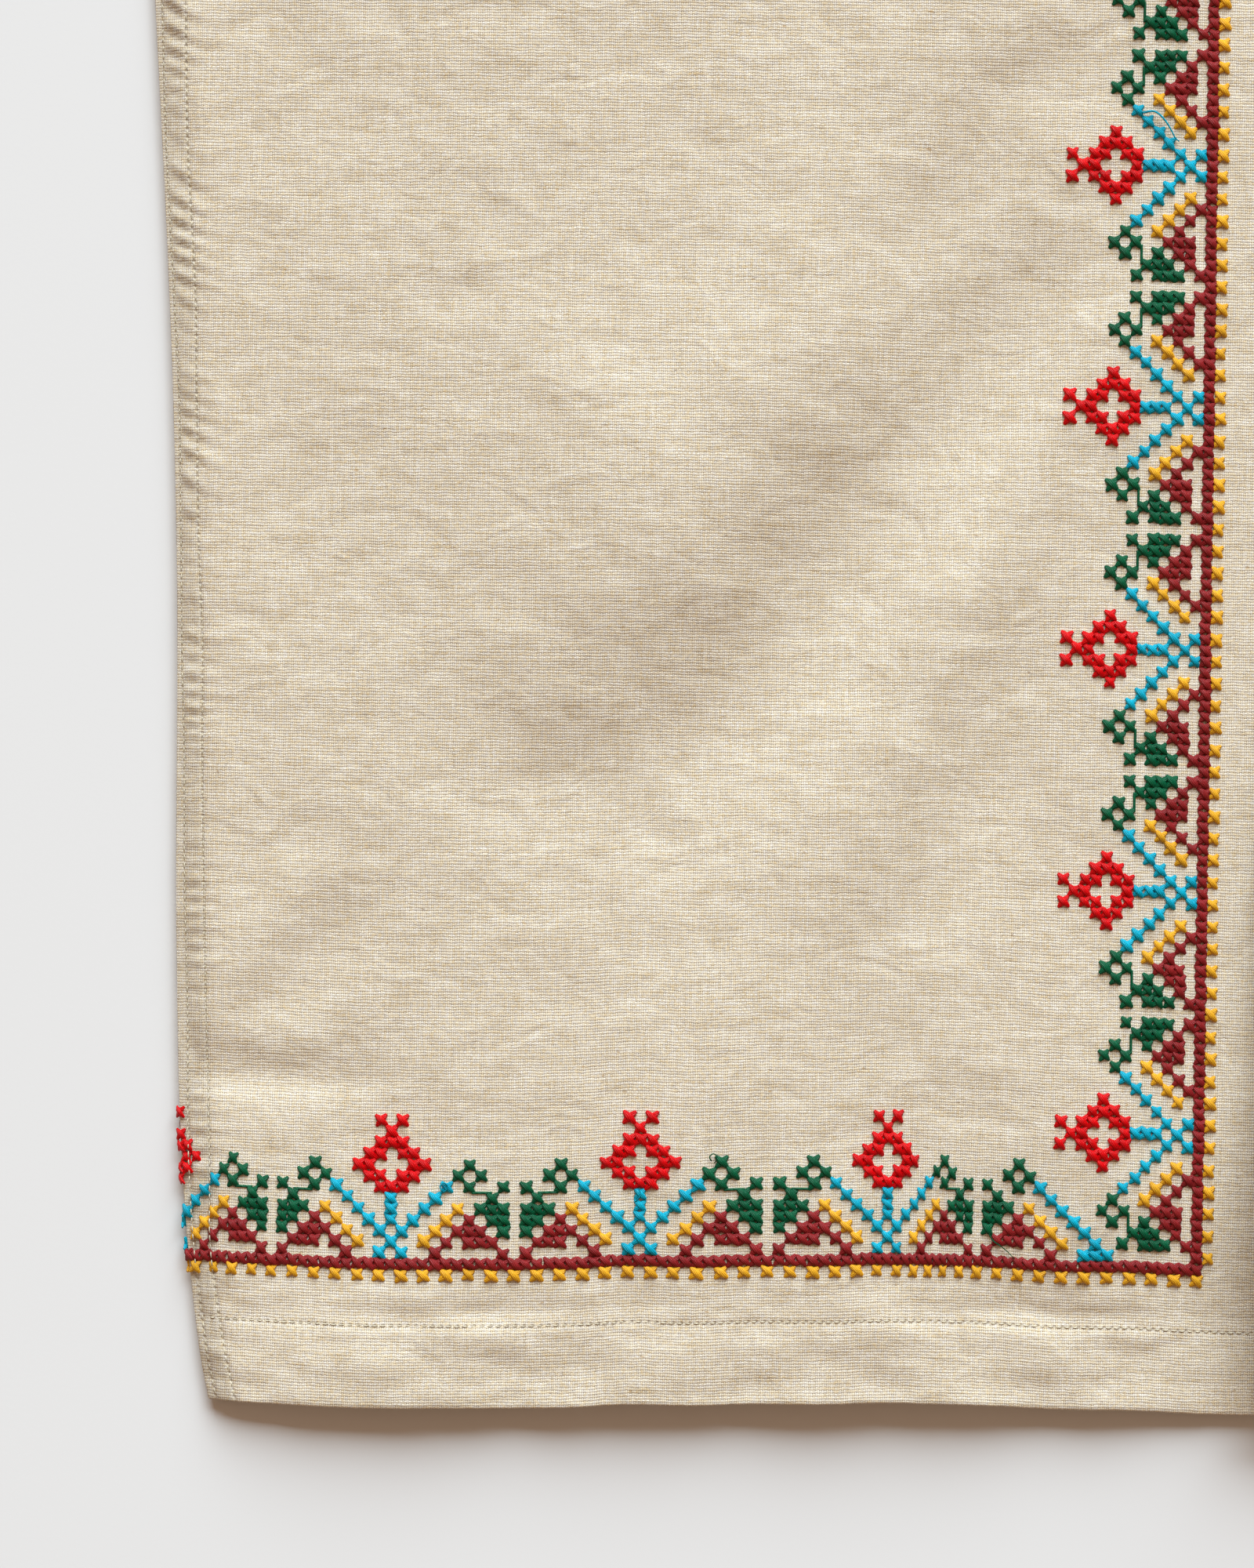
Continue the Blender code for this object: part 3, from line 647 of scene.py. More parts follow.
def shared_material(name, maker, *given):
    return bpy.data.materials.get(name) or maker(name, *given)


def linen():
    return shared_material("unbleached_plain_weave_linen", linen_material)


def sewing_thread():
    return shared_material("polyester_sewing_thread", floss_material, stitch_settings().thread_hex,
                           0.7, 2600.0)


def floss(colour):
    return shared_material(f"mercerised_cotton_floss_{colour}", floss_material,
                           getattr(stitch_settings(), colour + "_hex"))


def link_mesh(name, mesh):
    made = bpy.data.objects.new(name, mesh)
    bpy.context.scene.collection.objects.link(made)
    return made


def sheet_mesh(name, top, low, cloth_uv, closed_loop=False, seam_uv=None):
    """Closed wall of linen between two grids of points (rows, columns, 3), with the cloth's own
    coordinates in metres as one UV map and the distances to its seam rows as another."""
    rows, columns = top.shape[:2]
    points = np.concatenate([top.reshape(-1, 3), low.reshape(-1, 3)])
    below = rows * columns
    index = np.arange(below).reshape(rows, columns)
    if closed_loop:
        index = np.concatenate([index, index[:, :1]], axis=1)
    a, b = index[:-1, :-1].ravel(), index[:-1, 1:].ravel()
    c, d = index[1:, 1:].ravel(), index[1:, :-1].ravel()
    quads = [np.stack([a, b, c, d], axis=1), np.stack([d, c, b, a], axis=1) + below]
    edges = [(index[0, :-1], index[0, 1:]), (index[-1, 1:], index[-1, :-1])]
    if not closed_loop:
        edges += [(index[:-1, -1], index[1:, -1]), (index[1:, 0], index[:-1, 0])]
    for start, end in edges:
        quads.append(np.stack([end, start, start + below, end + below], axis=1))
    quads = np.concatenate(quads)
    mesh = bpy.data.meshes.new(name)
    mesh.vertices.add(len(points))
    mesh.vertices.foreach_set("co", points.astype(np.float32).ravel())
    mesh.loops.add(quads.size)
    mesh.loops.foreach_set("vertex_index", quads.astype(np.int32).ravel())
    mesh.polygons.add(len(quads))
    mesh.polygons.foreach_set("loop_start", np.arange(0, quads.size, 4, dtype=np.int32))
    mesh.update(calc_edges=True)
    if seam_uv is None:
        seam_uv = np.ones_like(cloth_uv)
    for label, spots in (("cloth", cloth_uv), ("seam", seam_uv)):
        layer = mesh.uv_layers.new(name=label)
        spots = spots.reshape(-1, 2)[quads.ravel() % below]
        layer.data.foreach_set("uv", spots.astype(np.float32).ravel())
    mesh.validate()
    mesh.materials.append(linen())
    mesh.shade_smooth()
    return link_mesh(name, mesh)


def turn_outward(piece):
    working = bmesh.new()
    working.from_mesh(piece.data)
    bmesh.ops.recalc_face_normals(working, faces=working.faces)
    working.to_mesh(piece.data)
    working.free()
    return piece


def body_grid(rows, fixed, share, end, drop):
    """Cloth x and h of a grid from the side fold, with fixed columns beside it, to x = end;
    its upper rows bend up to the neck."""
    width = half_width(rows)[:, None]
    start = fixed[-1] - width
    x = np.concatenate([fixed - width, start + share * (end - start)], axis=1)
    lift = neck_edge(x[-1], drop) - SHOULDER_H
    return x, rows[:, None] + lift * smooth(rows[:, None], 0.250, SHOULDER_H)


def front_piece(name, side):
    """One front; the right one, which the photo shows, has the finer grid."""
    pitch, row_pitch = (0.0044, 0.00102) if side < 0 else (0.0056, 0.0019)
    fine_to = 0.335
    fixed = np.array((0.0, 0.12, 0.4, 0.8, 1.2, 1.6, 2.0, 2.5, 3.1, 3.8, 4.5, 5.1, 5.6, 6.0,
                      6.4, 6.8, 7.3, 8.2, 9.4, 11.2, 14.0)) * MM
    reach = SHOULDER_HALF - fixed[-1] + PLACKET_HALF
    near_edge = 1.0 - np.array((0.9, 0.5, 0.25, 0.1)) * MM / reach
    share = np.unique(np.concatenate([np.linspace(0.0, 1.0, int(reach / pitch))[1:], near_edge]))
    rows = np.concatenate([np.array((0.0, 0.12, 0.35, 0.7, 1.1)) * MM,
                           np.arange(0.0024, fine_to, row_pitch),
                           np.arange(fine_to, SHOULDER_H - 0.004, 0.0045),
                           SHOULDER_H - np.array((3.2, 2.2, 1.4, 0.8, 0.35, 0.1, 0.0)) * MM])
    x, h = body_grid(rows, fixed, share, PLACKET_HALF, FRONT_DROP)
    if side > 0:
        x, h = -x[:, ::-1], h[:, ::-1]
    height = lying_height(x, h, side)
    thick = cloth_settings().thickness * (1.9 - 0.9 * smooth(h, HEM_DEPTH - 0.001, HEM_DEPTH + 0.001))
    rim = np.clip(rim_distance(x, h, FRONT_DROP) / ROLL, 0.0, 1.0)
    low = height - thick * (0.25 + 0.75 * np.sqrt(rim))
    low = np.where(h < 0.0004, np.minimum(low + 0.0003, height - 0.0003), low)
    edge = half_width(h) - np.abs(x)
    around = np.where(edge < ROLL, ROLL * (1.0 - edge / ROLL) * 0.57, 0.0)
    cloth_uv = np.stack([x + np.sign(x) * around * (np.abs(x) > 0.05), h], axis=-1)
    seam_uv = np.stack([edge - seam_row(h, "outer"), edge - seam_row(h, "inner")], axis=-1)
    top, under = cloth_points(x, h, height), cloth_points(x, h, low)
    return sheet_mesh(name, top, under, cloth_uv, seam_uv=seam_uv)


def back_piece(name):
    fixed = np.array((0.0, 0.3, 0.8, 1.5, 2.6, 4.0, 6.6, 10.0)) * MM
    rows = np.concatenate([np.array((0.0, 0.3, 1.0)) * MM, np.arange(0.005, SHOULDER_H - 0.004, 0.0068),
                           SHOULDER_H - np.array((2.6, 1.2, 0.4, 0.0)) * MM])
    x, h = body_grid(rows, fixed, np.linspace(0.0, 1.0, 44)[1:], 0.0, BACK_DROP)
    x = np.concatenate([x, -x[:, -2::-1]], axis=1)
    h = np.concatenate([h, h[:, -2::-1]], axis=1)
    edge = rim_distance(x, h, BACK_DROP)
    under = 0.0010 - 0.00045 * quarter_round(edge / ROLL)
    hem = 1.0 - smooth(h, HEM_DEPTH - 0.001, HEM_DEPTH + 0.001)
    rim = RIM_Z - 0.0003
    over = rim + (0.00145 - rim) * smooth(edge, ROLL * 0.6, ROLL + 0.004)
    over = over + 0.0003 * hem * smooth(edge, ROLL, ROLL + 0.004)
    shrunk = h + 0.0012 * (1.0 - smooth(h, 0.0, 0.02))
    top, low = (cloth_points(x, shrunk, height, BACK_DRIFT) for height in (over, under))
    return sheet_mesh(name, top, low, np.stack([x, h], axis=-1))


def sleeve_plan(f, s):
    """Cloth x and h at share f down a sleeve from its top edge and s out from the armhole."""
    from_h = SHOULDER_H - f * ARMHOLE_SPAN
    from_x = half_width(from_h) + 0.0004
    end_x, end_h = (top + f * (low - top) for top, low in zip(SLEEVE_END_TOP, SLEEVE_END_LOW))
    return from_x + s * (end_x - from_x), from_h + s * (end_h - from_h)


def sleeve_surface(f, s, side):
    """Cloth x and h, the heights of the upper and lower face, and the upper one's own crown."""
    x, h = sleeve_plan(f, s)
    reach = np.minimum(f, 1.0 - f) * ARMHOLE_SPAN
    bulge = quarter_round(reach / ROLL)
    seed = 80 if side > 0 else 90
    wave = 0.0011 * ripple(0.7 * x, h, 0.075, seed) + 0.00018 * ripple(x, h, 0.014, seed + 1)
    wave = wave * smooth(reach, 0.004, 0.03) * smooth(s, 0.0, 0.12)
    head = 0.0005 * hump(s, 0.03)
    furrow = 0.0003 * hump(s - 0.91, 0.006)
    hem = 0.0006 * smooth(s, *SLEEVE_HEM)
    crown = (SLEEVE_MIDDLE + np.maximum(wave, -0.0008) + hem + head - furrow) * bulge
    return x, h, SLEEVE_MIDDLE + crown, SLEEVE_MIDDLE - (SLEEVE_MIDDLE - 0.0001) * bulge, crown


def sleeve_points(x, h, height, side):
    return np.stack([side * x, h - ORIGIN_HEIGHT, height], axis=-1)


def sleeve_piece(name, side):
    """Flat tube from the armhole to the cuff, with soft folds on its upper layer."""
    near = np.array((0.0, 0.12, 0.35, 0.8, 1.5, 2.3, 3.2, 4.6)) * MM / ARMHOLE_SPAN
    shares = np.concatenate([near, np.linspace(0.03, 0.97, 48), 1.0 - near[::-1]])
    stations = np.concatenate([np.linspace(0.0, 0.895, 40), SLEEVE_HEM, (0.93, 0.96, 0.985, 0.995, 1.0)])
    f, s = np.meshgrid(shares, stations)
    x, h, high, low, crown = sleeve_surface(f, s, side)
    wall = cloth_settings().thickness * (1.0 + 0.5 * smooth(s, *SLEEVE_HEM))
    least = wall / ARMHOLE_SPAN * 1.05
    inner_x, inner_h = sleeve_plan(np.clip(f, least, 1.0 - least), s)
    gap = np.clip(np.minimum(f, 1.0 - f) * ARMHOLE_SPAN / ROLL, 0.02, 1.0)
    inner_high = SLEEVE_MIDDLE + np.maximum(crown - wall, 0.0001) * gap
    inner_low = SLEEVE_MIDDLE - np.maximum(SLEEVE_MIDDLE - 0.0001 - wall, 0.0001) * gap

    def ring(upper, lower):
        return np.concatenate([upper, lower[:, -2:0:-1]], axis=1)

    outer = ring(sleeve_points(x, h, high, side), sleeve_points(x, h, low, side))
    inner = ring(sleeve_points(inner_x, inner_h, inner_high, side),
                 sleeve_points(inner_x, inner_h, inner_low, side))
    spots = np.stack([f * ARMHOLE_SPAN, s * 0.21 + 0.4], axis=-1)
    return turn_outward(sheet_mesh(name, outer, inner, ring(spots, spots), closed_loop=True))


def collar_loop():
    """Neck seam from the right front end round the back to the left front end."""
    front = (COLLAR_END, 0.012, 0.026, 0.040, 0.052, 0.061, 0.068, 0.073)
    back = (0.073, 0.062, 0.048, 0.032, 0.016)
    middle = COLLAR_FRONT_Z - 0.0012
    half = []

    def follow(xs, drop, level, turn_from):
        """Points just outside the neck edge, from a level down or up to the middle one."""
        step = 1e-5
        for x in xs:
            rise = float(neck_edge(step - x, drop) - neck_edge(-x - step, drop)) / (2.0 * step)
            off = COLLAR_OFF / math.hypot(rise, 1.0)
            z = level + (middle - level) * float(smooth(x, turn_from, 0.073))
            half.append((-x - off * rise, float(neck_edge(-x, drop)) + off, z))

    follow(front, FRONT_DROP, COLLAR_FRONT_Z, 0.030)
    half += [(-0.0736, 0.7070, middle), (-0.0746, 0.7105, middle), (-0.0742, 0.7135, middle)]
    follow(back, BACK_DROP, COLLAR_BACK_Z, 0.050)
    centre = [(0.0, float(neck_edge(0.0, BACK_DROP)) + COLLAR_OFF, COLLAR_BACK_Z)]
    loop = np.array(half + centre + [(-x, h, z) for x, h, z in reversed(half)])
    loop[:, 1] -= ORIGIN_HEIGHT
    gone = lengths_along(loop)
    even = np.linspace(0.0, gone[-1], COLLAR_STATIONS)
    return resample(even, gone, loop), even


def collar_faces():
    """The collar's two faces as rows of points at its levels, the direction across it, and the
    length along its seam."""
    trim = trim_settings()
    loop, along = collar_loop()
    lean = np.array(COLLAR_LEAN)
    normal = unit(np.cross(np.gradient(loop, axis=0), lean))
    end = np.minimum(along, along[-1] - along)
    tall = trim.collar_tall - COLLAR_CORNER * (1.0 - quarter_round(end / COLLAR_CORNER))
    taper = 0.4 + 0.6 * np.sqrt(np.clip(end / 0.0008, 0.0, 1.0))
    faces = [], []
    for level in COLLAR_LEVELS:
        full = 0.25 + 0.75 * quarter_round(min(level, 1.0 - level) / 0.05)
        groove = 0.10 * sum(hump(level - row, 0.02) for row in COLLAR_ROWS)
        soft = 0.04 * ripple(along, np.full_like(along, level * 0.03), 0.02, 7)
        half = 0.5 * trim.collar_wall * (full - groove) * (1.0 + soft) * taper
        wave = 0.0006 * level * ripple(along, 0.0 * along, 0.09, 5) * smooth(end, 0.0, 0.02)
        centre = loop + (level * tall)[:, None] * lean
        for face, away in zip(faces, (wave + half, wave - half)):
            face.append(centre + away[:, None] * normal)
    return np.array(faces[0]), np.array(faces[1]), normal, along


def collar_piece(name):
    top, low, _, along = collar_faces()
    levels = np.array(COLLAR_LEVELS) * trim_settings().collar_tall
    spots = np.stack(np.meshgrid(along, levels), axis=-1) + (0.0, 1.0)
    return turn_outward(sheet_mesh(name, top, low, spots))


def leg(new, stitch, strand, rise, dip, sides, steps):
    """One thread leg along X, from hole to hole, arched and thinner at its ends."""
    reach, depth = new("MULTIPLY", (stitch, 0.5)), new("MULTIPLY", (strand, dip))
    ends = [new("ShaderNodeCombineXYZ", {0: new("MULTIPLY", (reach, sign)), 2: depth})
            for sign in (-1.0, 1.0)]
    peak = new("ShaderNodeCombineXYZ", {2: new("MULTIPLY", (strand, rise))})
    path = new("GeometryNodeCurveQuadraticBezier",
               {"Resolution": steps, "Start": ends[0], "Middle": peak, "End": ends[1]})
    upright = new("GeometryNodeSetCurveNormal", {"Curve": path}, mode="Z_UP")
    gone = new("GeometryNodeSplineParameter")
    from_middle = new("ABSOLUTE", [new("SUBTRACT", (gone, 0.5))])
    thin = new("ShaderNodeMapRange", (from_middle, 0.14, 0.5, 1.0, 0.40))
    ring = new("GeometryNodeCurvePrimitiveCircle",
               {"Resolution": sides, "Radius": new("MULTIPLY", (strand, 0.5))}, mode="RADIUS")
    flat = new("GeometryNodeTransform", {"Geometry": ring, "Scale": (1.0, 0.48, 1.0)})
    tube = new("GeometryNodeCurveToMesh",
               {"Curve": upright, "Profile Curve": flat, "Scale": thin, "Fill Caps": True})
    soft = new("GeometryNodeSetShadeSmooth", {"Geometry": tube})
    place = new("GeometryNodeInputPosition")
    return new("GeometryNodeStoreNamedAttribute", {"Geometry": soft, "Name": "strand", "Value": place},
               data_type="FLOAT2", domain="CORNER")


def stitch_tree(name, crossed, sides, steps):
    """Sets a cross, or a single straight stitch, on every point of a mesh, lying and
    spread as the point's attributes say."""
    tree = bpy.data.node_groups.new(name, "GeometryNodeTree")
    tree.interface.new_socket("Geometry", in_out="OUTPUT", socket_type="NodeSocketGeometry")
    for label, kind, default in STITCH_SOCKETS:
        socket = tree.interface.new_socket(label, in_out="INPUT", socket_type="NodeSocket" + kind)
        if default is not None:
            socket.default_value = default
    new = functools.partial(node, tree)
    points, stitch, strand, unevenness, seed, thread = new("NodeGroupInput").outputs[:6]
    # a leg's rise and dip are in strand widths; the second leg goes over the first
    if crossed:
        diagonal = new("MULTIPLY", (stitch, LEG_REACH))
        shape = new("GeometryNodeJoinGeometry")
        for rise, dip, turn in ((0.52, 0.04, math.pi / 4), (0.76, 0.02, -math.pi / 4)):
            straight = leg(new, diagonal, strand, rise, dip, sides, steps)
            turned = new("GeometryNodeTransform", {"Geometry": straight, "Rotation": (0.0, 0.0, turn)})
            tree.links.new(turned.outputs[0], shape.inputs[0])
    else:
        shape = leg(new, stitch, strand, 0.9, -0.3, sides, steps)
    lie, spread = (new("GeometryNodeInputNamedAttribute", {"Name": label}, data_type="FLOAT_VECTOR")
                   for label in ("lie", "spread"))
    low = new("MULTIPLY", (unevenness, -1.0))
    tilt = new("ShaderNodeCombineXYZ", [
        new("FunctionNodeRandomValue", {2: low, 3: unevenness, "Seed": new("ADD", (seed, more))},
            data_type="FLOAT") for more in (0.0, 11.0, 23.0)])
    turns = [new("FunctionNodeEulerToRotation", [angles]) for angles in (lie, tilt)]
    whole = new("FunctionNodeRotateRotation", turns, rotation_space="LOCAL")
    size = new("FunctionNodeRandomValue", {2: 0.93, 3: 1.10, "Seed": 5}, data_type="FLOAT")
    scale = new("ShaderNodeVectorMath", {0: spread, "Scale": size}, operation="SCALE")
    placed = new("GeometryNodeInstanceOnPoints",
                 {"Points": points, "Instance": shape, "Rotation": whole, "Scale": scale})
    real = new("GeometryNodeRealizeInstances", {"Geometry": placed})
    dyed = new("GeometryNodeSetMaterial", {"Geometry": real, "Material": thread})
    new("NodeGroupOutput", [dyed])
    return tree


def lie_angles(across, along):
    """Euler angles that turn X to across and Z to the cloth's outer side."""
    x_axis = unit(across)
    z_axis = unit(np.cross(across, along))
    y_axis = np.cross(z_axis, x_axis)
    return np.array([tuple(Matrix(axes).transposed().to_euler()) for axes in zip(x_axis, y_axis, z_axis)])


def on_front(x, h, side, step):
    """Points on a front, and the angles of stitches that lie on the cloth there."""
    across = front_point(x + step, h, side) - front_point(x - step, h, side)
    along = front_point(x, h + step, side) - front_point(x, h - step, side)
    return front_point(x, h, side), lie_angles(across, along)


def sew(name, places, turns, spreads, tree, values, material):
    """Runs a stitch tree on points and keeps the result as one plain mesh."""
    mesh = bpy.data.meshes.new(name + "_points")
    mesh.from_pydata([tuple(p) for p in places], [], [])
    for label, rows in (("lie", turns), ("spread", spreads)):
        held = mesh.attributes.new(label, "FLOAT_VECTOR", "POINT")
        held.data.foreach_set("vector", np.asarray(rows, np.float32).ravel())
    holder = link_mesh(name + "_points", mesh)
    modifier = holder.modifiers.new("stitches", "NODES")
    modifier.node_group = tree
    keys = {item.name: item.identifier for item in tree.interface.items_tree
            if item.item_type == "SOCKET" and item.in_out == "INPUT"}
    for label, value in (values | {"Thread": material}).items():
        modifier[keys[label]] = value
    holder.update_tag()
    graph = bpy.context.evaluated_depsgraph_get()
    result = bpy.data.meshes.new_from_object(holder.evaluated_get(graph), depsgraph=graph)
    result.name = name
    bpy.data.objects.remove(holder, do_unlink=True)
    bpy.data.meshes.remove(mesh)
    for label in ("lie", "spread"):
        if label in result.attributes:
            result.attributes.remove(result.attributes[label])
    result.materials.clear()
    result.materials.append(material)
    return link_mesh(name, result)


def seat(piece, node_name=None):
    """Seats a piece on the shirt: cloth in place of its solid, which is hidden; anything else is only
    attached.
    """
    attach(piece, "root")
    if node_name:
        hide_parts(node_name)
    return piece


def mirrored_chart():
    """All stitches of one repeat, as colour, stitch along and row."""
    for colour, cells in CHART.items():
        for along, row in cells:
            yield colour, along, row
            if along:
                yield colour, -along, row


def hem_cells():
    """Border along a front's hem, counted from the corner towards the side."""
    last = HEM_COUNT["count"][-1] + 2
    for count in range(last):
        yield "maroon", count, 0
        if count % 2 == 0:
            yield "yellow", count, -1
    for flower in HEM_FLOWERS:
        for colour, along, row in mirrored_chart():
            if flower + along <= last:
                yield colour, flower + along, row
    for colour, along, row in mirrored_chart():
        if along >= 0 and colour != "red" and not (along == 0 and row > 3):
            yield colour, CORNER_PLANT + along, row
    yield "turquoise", CORNER_PLANT - 1, 1
    yield "turquoise", CORNER_PLANT, 1


def edge_cells():
    """Border up the opening, counted from the corner, to the height of the neck."""
    for count in range(1, EDGE_LAST + 1):
        yield "maroon", count, 0
        if count % 2:
            yield "yellow", count, -1
    for flower in EDGE_FLOWERS:
        for colour, along, row in mirrored_chart():
            if 2 <= flower + along <= EDGE_LAST:
                yield colour, flower + along, row


def hem_place(count, row):
    x = -smooth_table(count, HEM_COUNT["count"], HEM_COUNT["x"]) * MM
    return float(x), HEM_LINE_H + row * stitch_settings().row_hem


def edge_place(count, row):
    h = np.interp(count, EDGE_COUNT["count"], EDGE_COUNT["h"]) * MM
    return -(EDGE_LINE_X + row * stitch_settings().row_edge), float(h)


def cross_points(side):
    """Places, turns and spreads of a front's cross stitches, by colour."""
    stitches = stitch_settings()
    rng = np.random.default_rng(5 if side < 0 else 6)
    found = {}
    for maker, place in ((hem_cells, hem_place), (edge_cells, edge_place)):
        for colour, count, row in sorted(set(maker())):
            x, h = place(count, row)
            next_x, next_h = place(count + 1, row)
            spreads = [abs(next_x - x) + abs(next_h - h), stitches.row_hem]
            if place is edge_place:
                spreads = [stitches.row_edge, spreads[0]]
            found.setdefault(colour, []).append((x, h, *spreads))
    result = {}
    for colour, rows in found.items():
        x, h, wide, tall = np.array(rows).T
        x, h = (value + rng.normal(0.0, 0.00007, len(value)) for value in (x, h))
        places, turns = on_front(-side * x, h, side, 0.0008)
        spreads = np.stack([wide / stitches.stitch, tall / stitches.stitch, np.ones_like(x)], axis=1)
        result[colour] = (places, turns, spreads)
    return result


def back_points():
    """The border round the back's hem, worked on the face that lies down."""
    found = {}
    for flower in range(-5, 6):
        cells = list(mirrored_chart())
        for count in range(-HALF_REPEAT, HALF_REPEAT):
            cells.append(("maroon", count, 0))
            if count % 2:
                cells.append(("yellow", count, -1))
        for colour, along, row in cells:
            x = (flower * REPEAT + along) * BACK_PITCH
            h = HEM_LINE_H + row * stitch_settings().row_hem
            if abs(x) < float(half_width(h)) - 0.004:
                found.setdefault(colour, set()).add((round(x, 6), round(h, 6)))
    result = {}
    for colour, spots in found.items():
        x, h = np.array(sorted(spots)).T
        places = np.stack([x, h - ORIGIN_HEIGHT, np.full_like(x, BACK_FACE_Z)], axis=1)
        turns = np.tile((math.pi, 0.0, 0.0), (len(x), 1))
        result[colour] = (places, turns, np.tile((1.02, 1.0, 0.42), (len(x), 1)))
    return result


def thread_mesh(name, runs, material):
    """Round threads along smooth paths; a run is a list of x, y, z and radius."""
    points, faces, spots = [], [], []
    sides = range(THREAD_SIDES)
    for run in runs:
        run = np.array(run, float)
        line = resample(np.linspace(0.0, len(run) - 1.0, 4 * len(run) - 3), range(len(run)), run)
        centre = line[:, :3]
        ahead = unit(np.gradient(centre, axis=0))
        aside = unit(np.cross(ahead, UP))
        upward = np.cross(aside, ahead)
        gone = lengths_along(centre)
        first, rings = len(points), len(line)
        for k in range(rings):
            for turn in sides:
                angle = 2.0 * math.pi * turn / THREAD_SIDES
                round_it = math.cos(angle) * aside[k] + math.sin(angle) * upward[k]
                points.append(tuple(centre[k] + line[k, 3] * round_it))
        for k in range(rings - 1):
            for turn in sides:
                a = first + k * THREAD_SIDES + turn
                b = first + k * THREAD_SIDES + (turn + 1) % THREAD_SIDES
                faces.append((a, a + THREAD_SIDES, b + THREAD_SIDES, b))
                low, high = turn * MM * 0.2, (turn + 1) * MM * 0.2
                spots += [(gone[k], low), (gone[k + 1], low), (gone[k + 1], high), (gone[k], high)]
        last = first + (rings - 1) * THREAD_SIDES
        faces.append(tuple(first + turn for turn in sides))
        faces.append(tuple(last + turn for turn in reversed(sides)))
        spots += [(gone[0], 0.0)] * THREAD_SIDES + [(gone[-1], 0.0)] * THREAD_SIDES
    mesh = bpy.data.meshes.new(name)
    mesh.from_pydata(points, [], faces)
    layer = mesh.uv_layers.new(name="strand")
    layer.data.foreach_set("uv", np.array(spots, np.float32).ravel())
    mesh.materials.append(material)
    mesh.shade_smooth()
    return link_mesh(name, mesh)


def link_runs(side):
    """Thin threads that pass over the cloth from each ring of a bud to its leaf."""
    runs = []
    for flowers, place in ((HEM_FLOWERS, hem_place), (EDGE_FLOWERS, edge_place)):
        for flower in flowers:
            for way in (-1, 1):
                x, h = np.array([place(flower + way * along, 6.5) for along in (7.2, 7.8, 8.4, 9.0)]).T
                if h.max() > BORDER_TOP or -x.min() > BORDER_SIDE:
                    continue
                centre = front_point(-side * x, h, side) + (0.0, 0.0, LINK_RISE)
                runs.append([tuple(spot) + (LINK_RADIUS,) for spot in centre])
    return runs


def loose_runs(colour, side):
    """Loose ends of one colour, which rise from the cloth and come down again."""
    runs = []
    for name, radius, above, spots in LOOSE_ENDS:
        if name != colour:
            continue
        x, h = np.array(spots).T * MM
        rise = np.sin(np.linspace(0.12, 0.92, len(x)) * math.pi) * above * MM + 0.0003
        thin = np.linspace(1.0, 0.55, len(x)) * radius * MM
        centre = front_point(-side * x, h, side)
        centre[:, 2] += rise
        runs.append([tuple(spot) + (part,) for spot, part in zip(centre, thin)])
    return runs


def seam_run(path, upward, pitch):
    """Even points along a path on the cloth, with the directions there."""
    gone = lengths_along(path)
    at = np.arange(pitch * 0.6, gone[-1] - pitch * 0.4, pitch)
    places, ahead, behind = (resample(at + step, gone, path, np.interp) for step in (0.0, 0.0006, -0.0006))
    across = ahead - behind
    upward = resample(at, gone, np.broadcast_to(upward, path.shape), np.interp)
    return places, lie_angles(across, np.cross(upward, across))


def front_rows(side):
    """Paths of the machine stitching on one front, each with its upward direction."""
    h = np.linspace(0.001, ARMPIT_H - 0.006, 700)
    over_border = 0.0013 * smooth(h, 0.028, 0.032) * (1.0 - smooth(h, 0.062, 0.068))
    paths = []
    for row in ("outer", "inner"):
        x = side * (half_width(h) - seam_row(h, row))
        paths.append(cloth_points(x, h, lying_height(x, h, side) + over_border + 0.00008))
    end = -PLACKET_HALF - 0.001 if side < 0 else -0.014
    x = np.linspace(side * (float(half_width(HEM_DEPTH)) - 0.003), end, 500)
    runs = [(x, np.full_like(x, HEM_DEPTH))]
    x = side * np.linspace(NECK_HALF + 0.004, SHOULDER_HALF - 0.004, 160)
    runs.append((x, neck_edge(x, FRONT_DROP) - SEAM_IN))
    runs.append(armhole_run(side))
    if side > 0:
        h = np.linspace(0.004, PLACKET_TOP, 600)
        runs += [(np.full_like(h, x), h) for x in (0.0018 - PLACKET_HALF, PLACKET_HALF - 0.0015)]
    paths += [front_point(x, h, side) + (0.0, 0.0, ABOVE) for x, h in runs]
    return [(path, UP) for path in paths]


def armhole_run(side):
    h = np.linspace(ARMPIT_H + 0.006, SHOULDER_H - 0.008, 200)
    return side * (half_width(h) - SEAM_IN), h


def back_rows():
    """Hem and armhole rows on the back's face, which lies down."""
    x = np.linspace(-0.244, 0.244, 300)
    runs = [(x, np.full_like(x, HEM_DEPTH)), armhole_run(-1), armhole_run(1)]
    return [(cloth_points(x, h, np.full_like(x, 0.0005), BACK_DRIFT), DOWN) for x, h in runs]


def sleeve_rows(side):
    """The sleeve hem's row, on the upper and the lower layer."""
    share = np.linspace(0.012, 0.988, 160)
    x, h, high, low, _ = sleeve_surface(share, np.full_like(share, 0.912), side)
    return [(sleeve_points(x, h, high + ABOVE, side), UP), (sleeve_points(x, h, low, side), DOWN)]


def collar_rows():
    """A row along the collar's seam and one along its upper edge, on both faces."""
    top, low, normal, _ = collar_faces()
    rows = []
    for index in map(COLLAR_LEVELS.index, COLLAR_ROWS):
        for face, outward in ((top, normal), (low, -normal)):
            rows.append(((face[index] + ABOVE * outward)[4:-4], outward[4:-4]))
    return rows


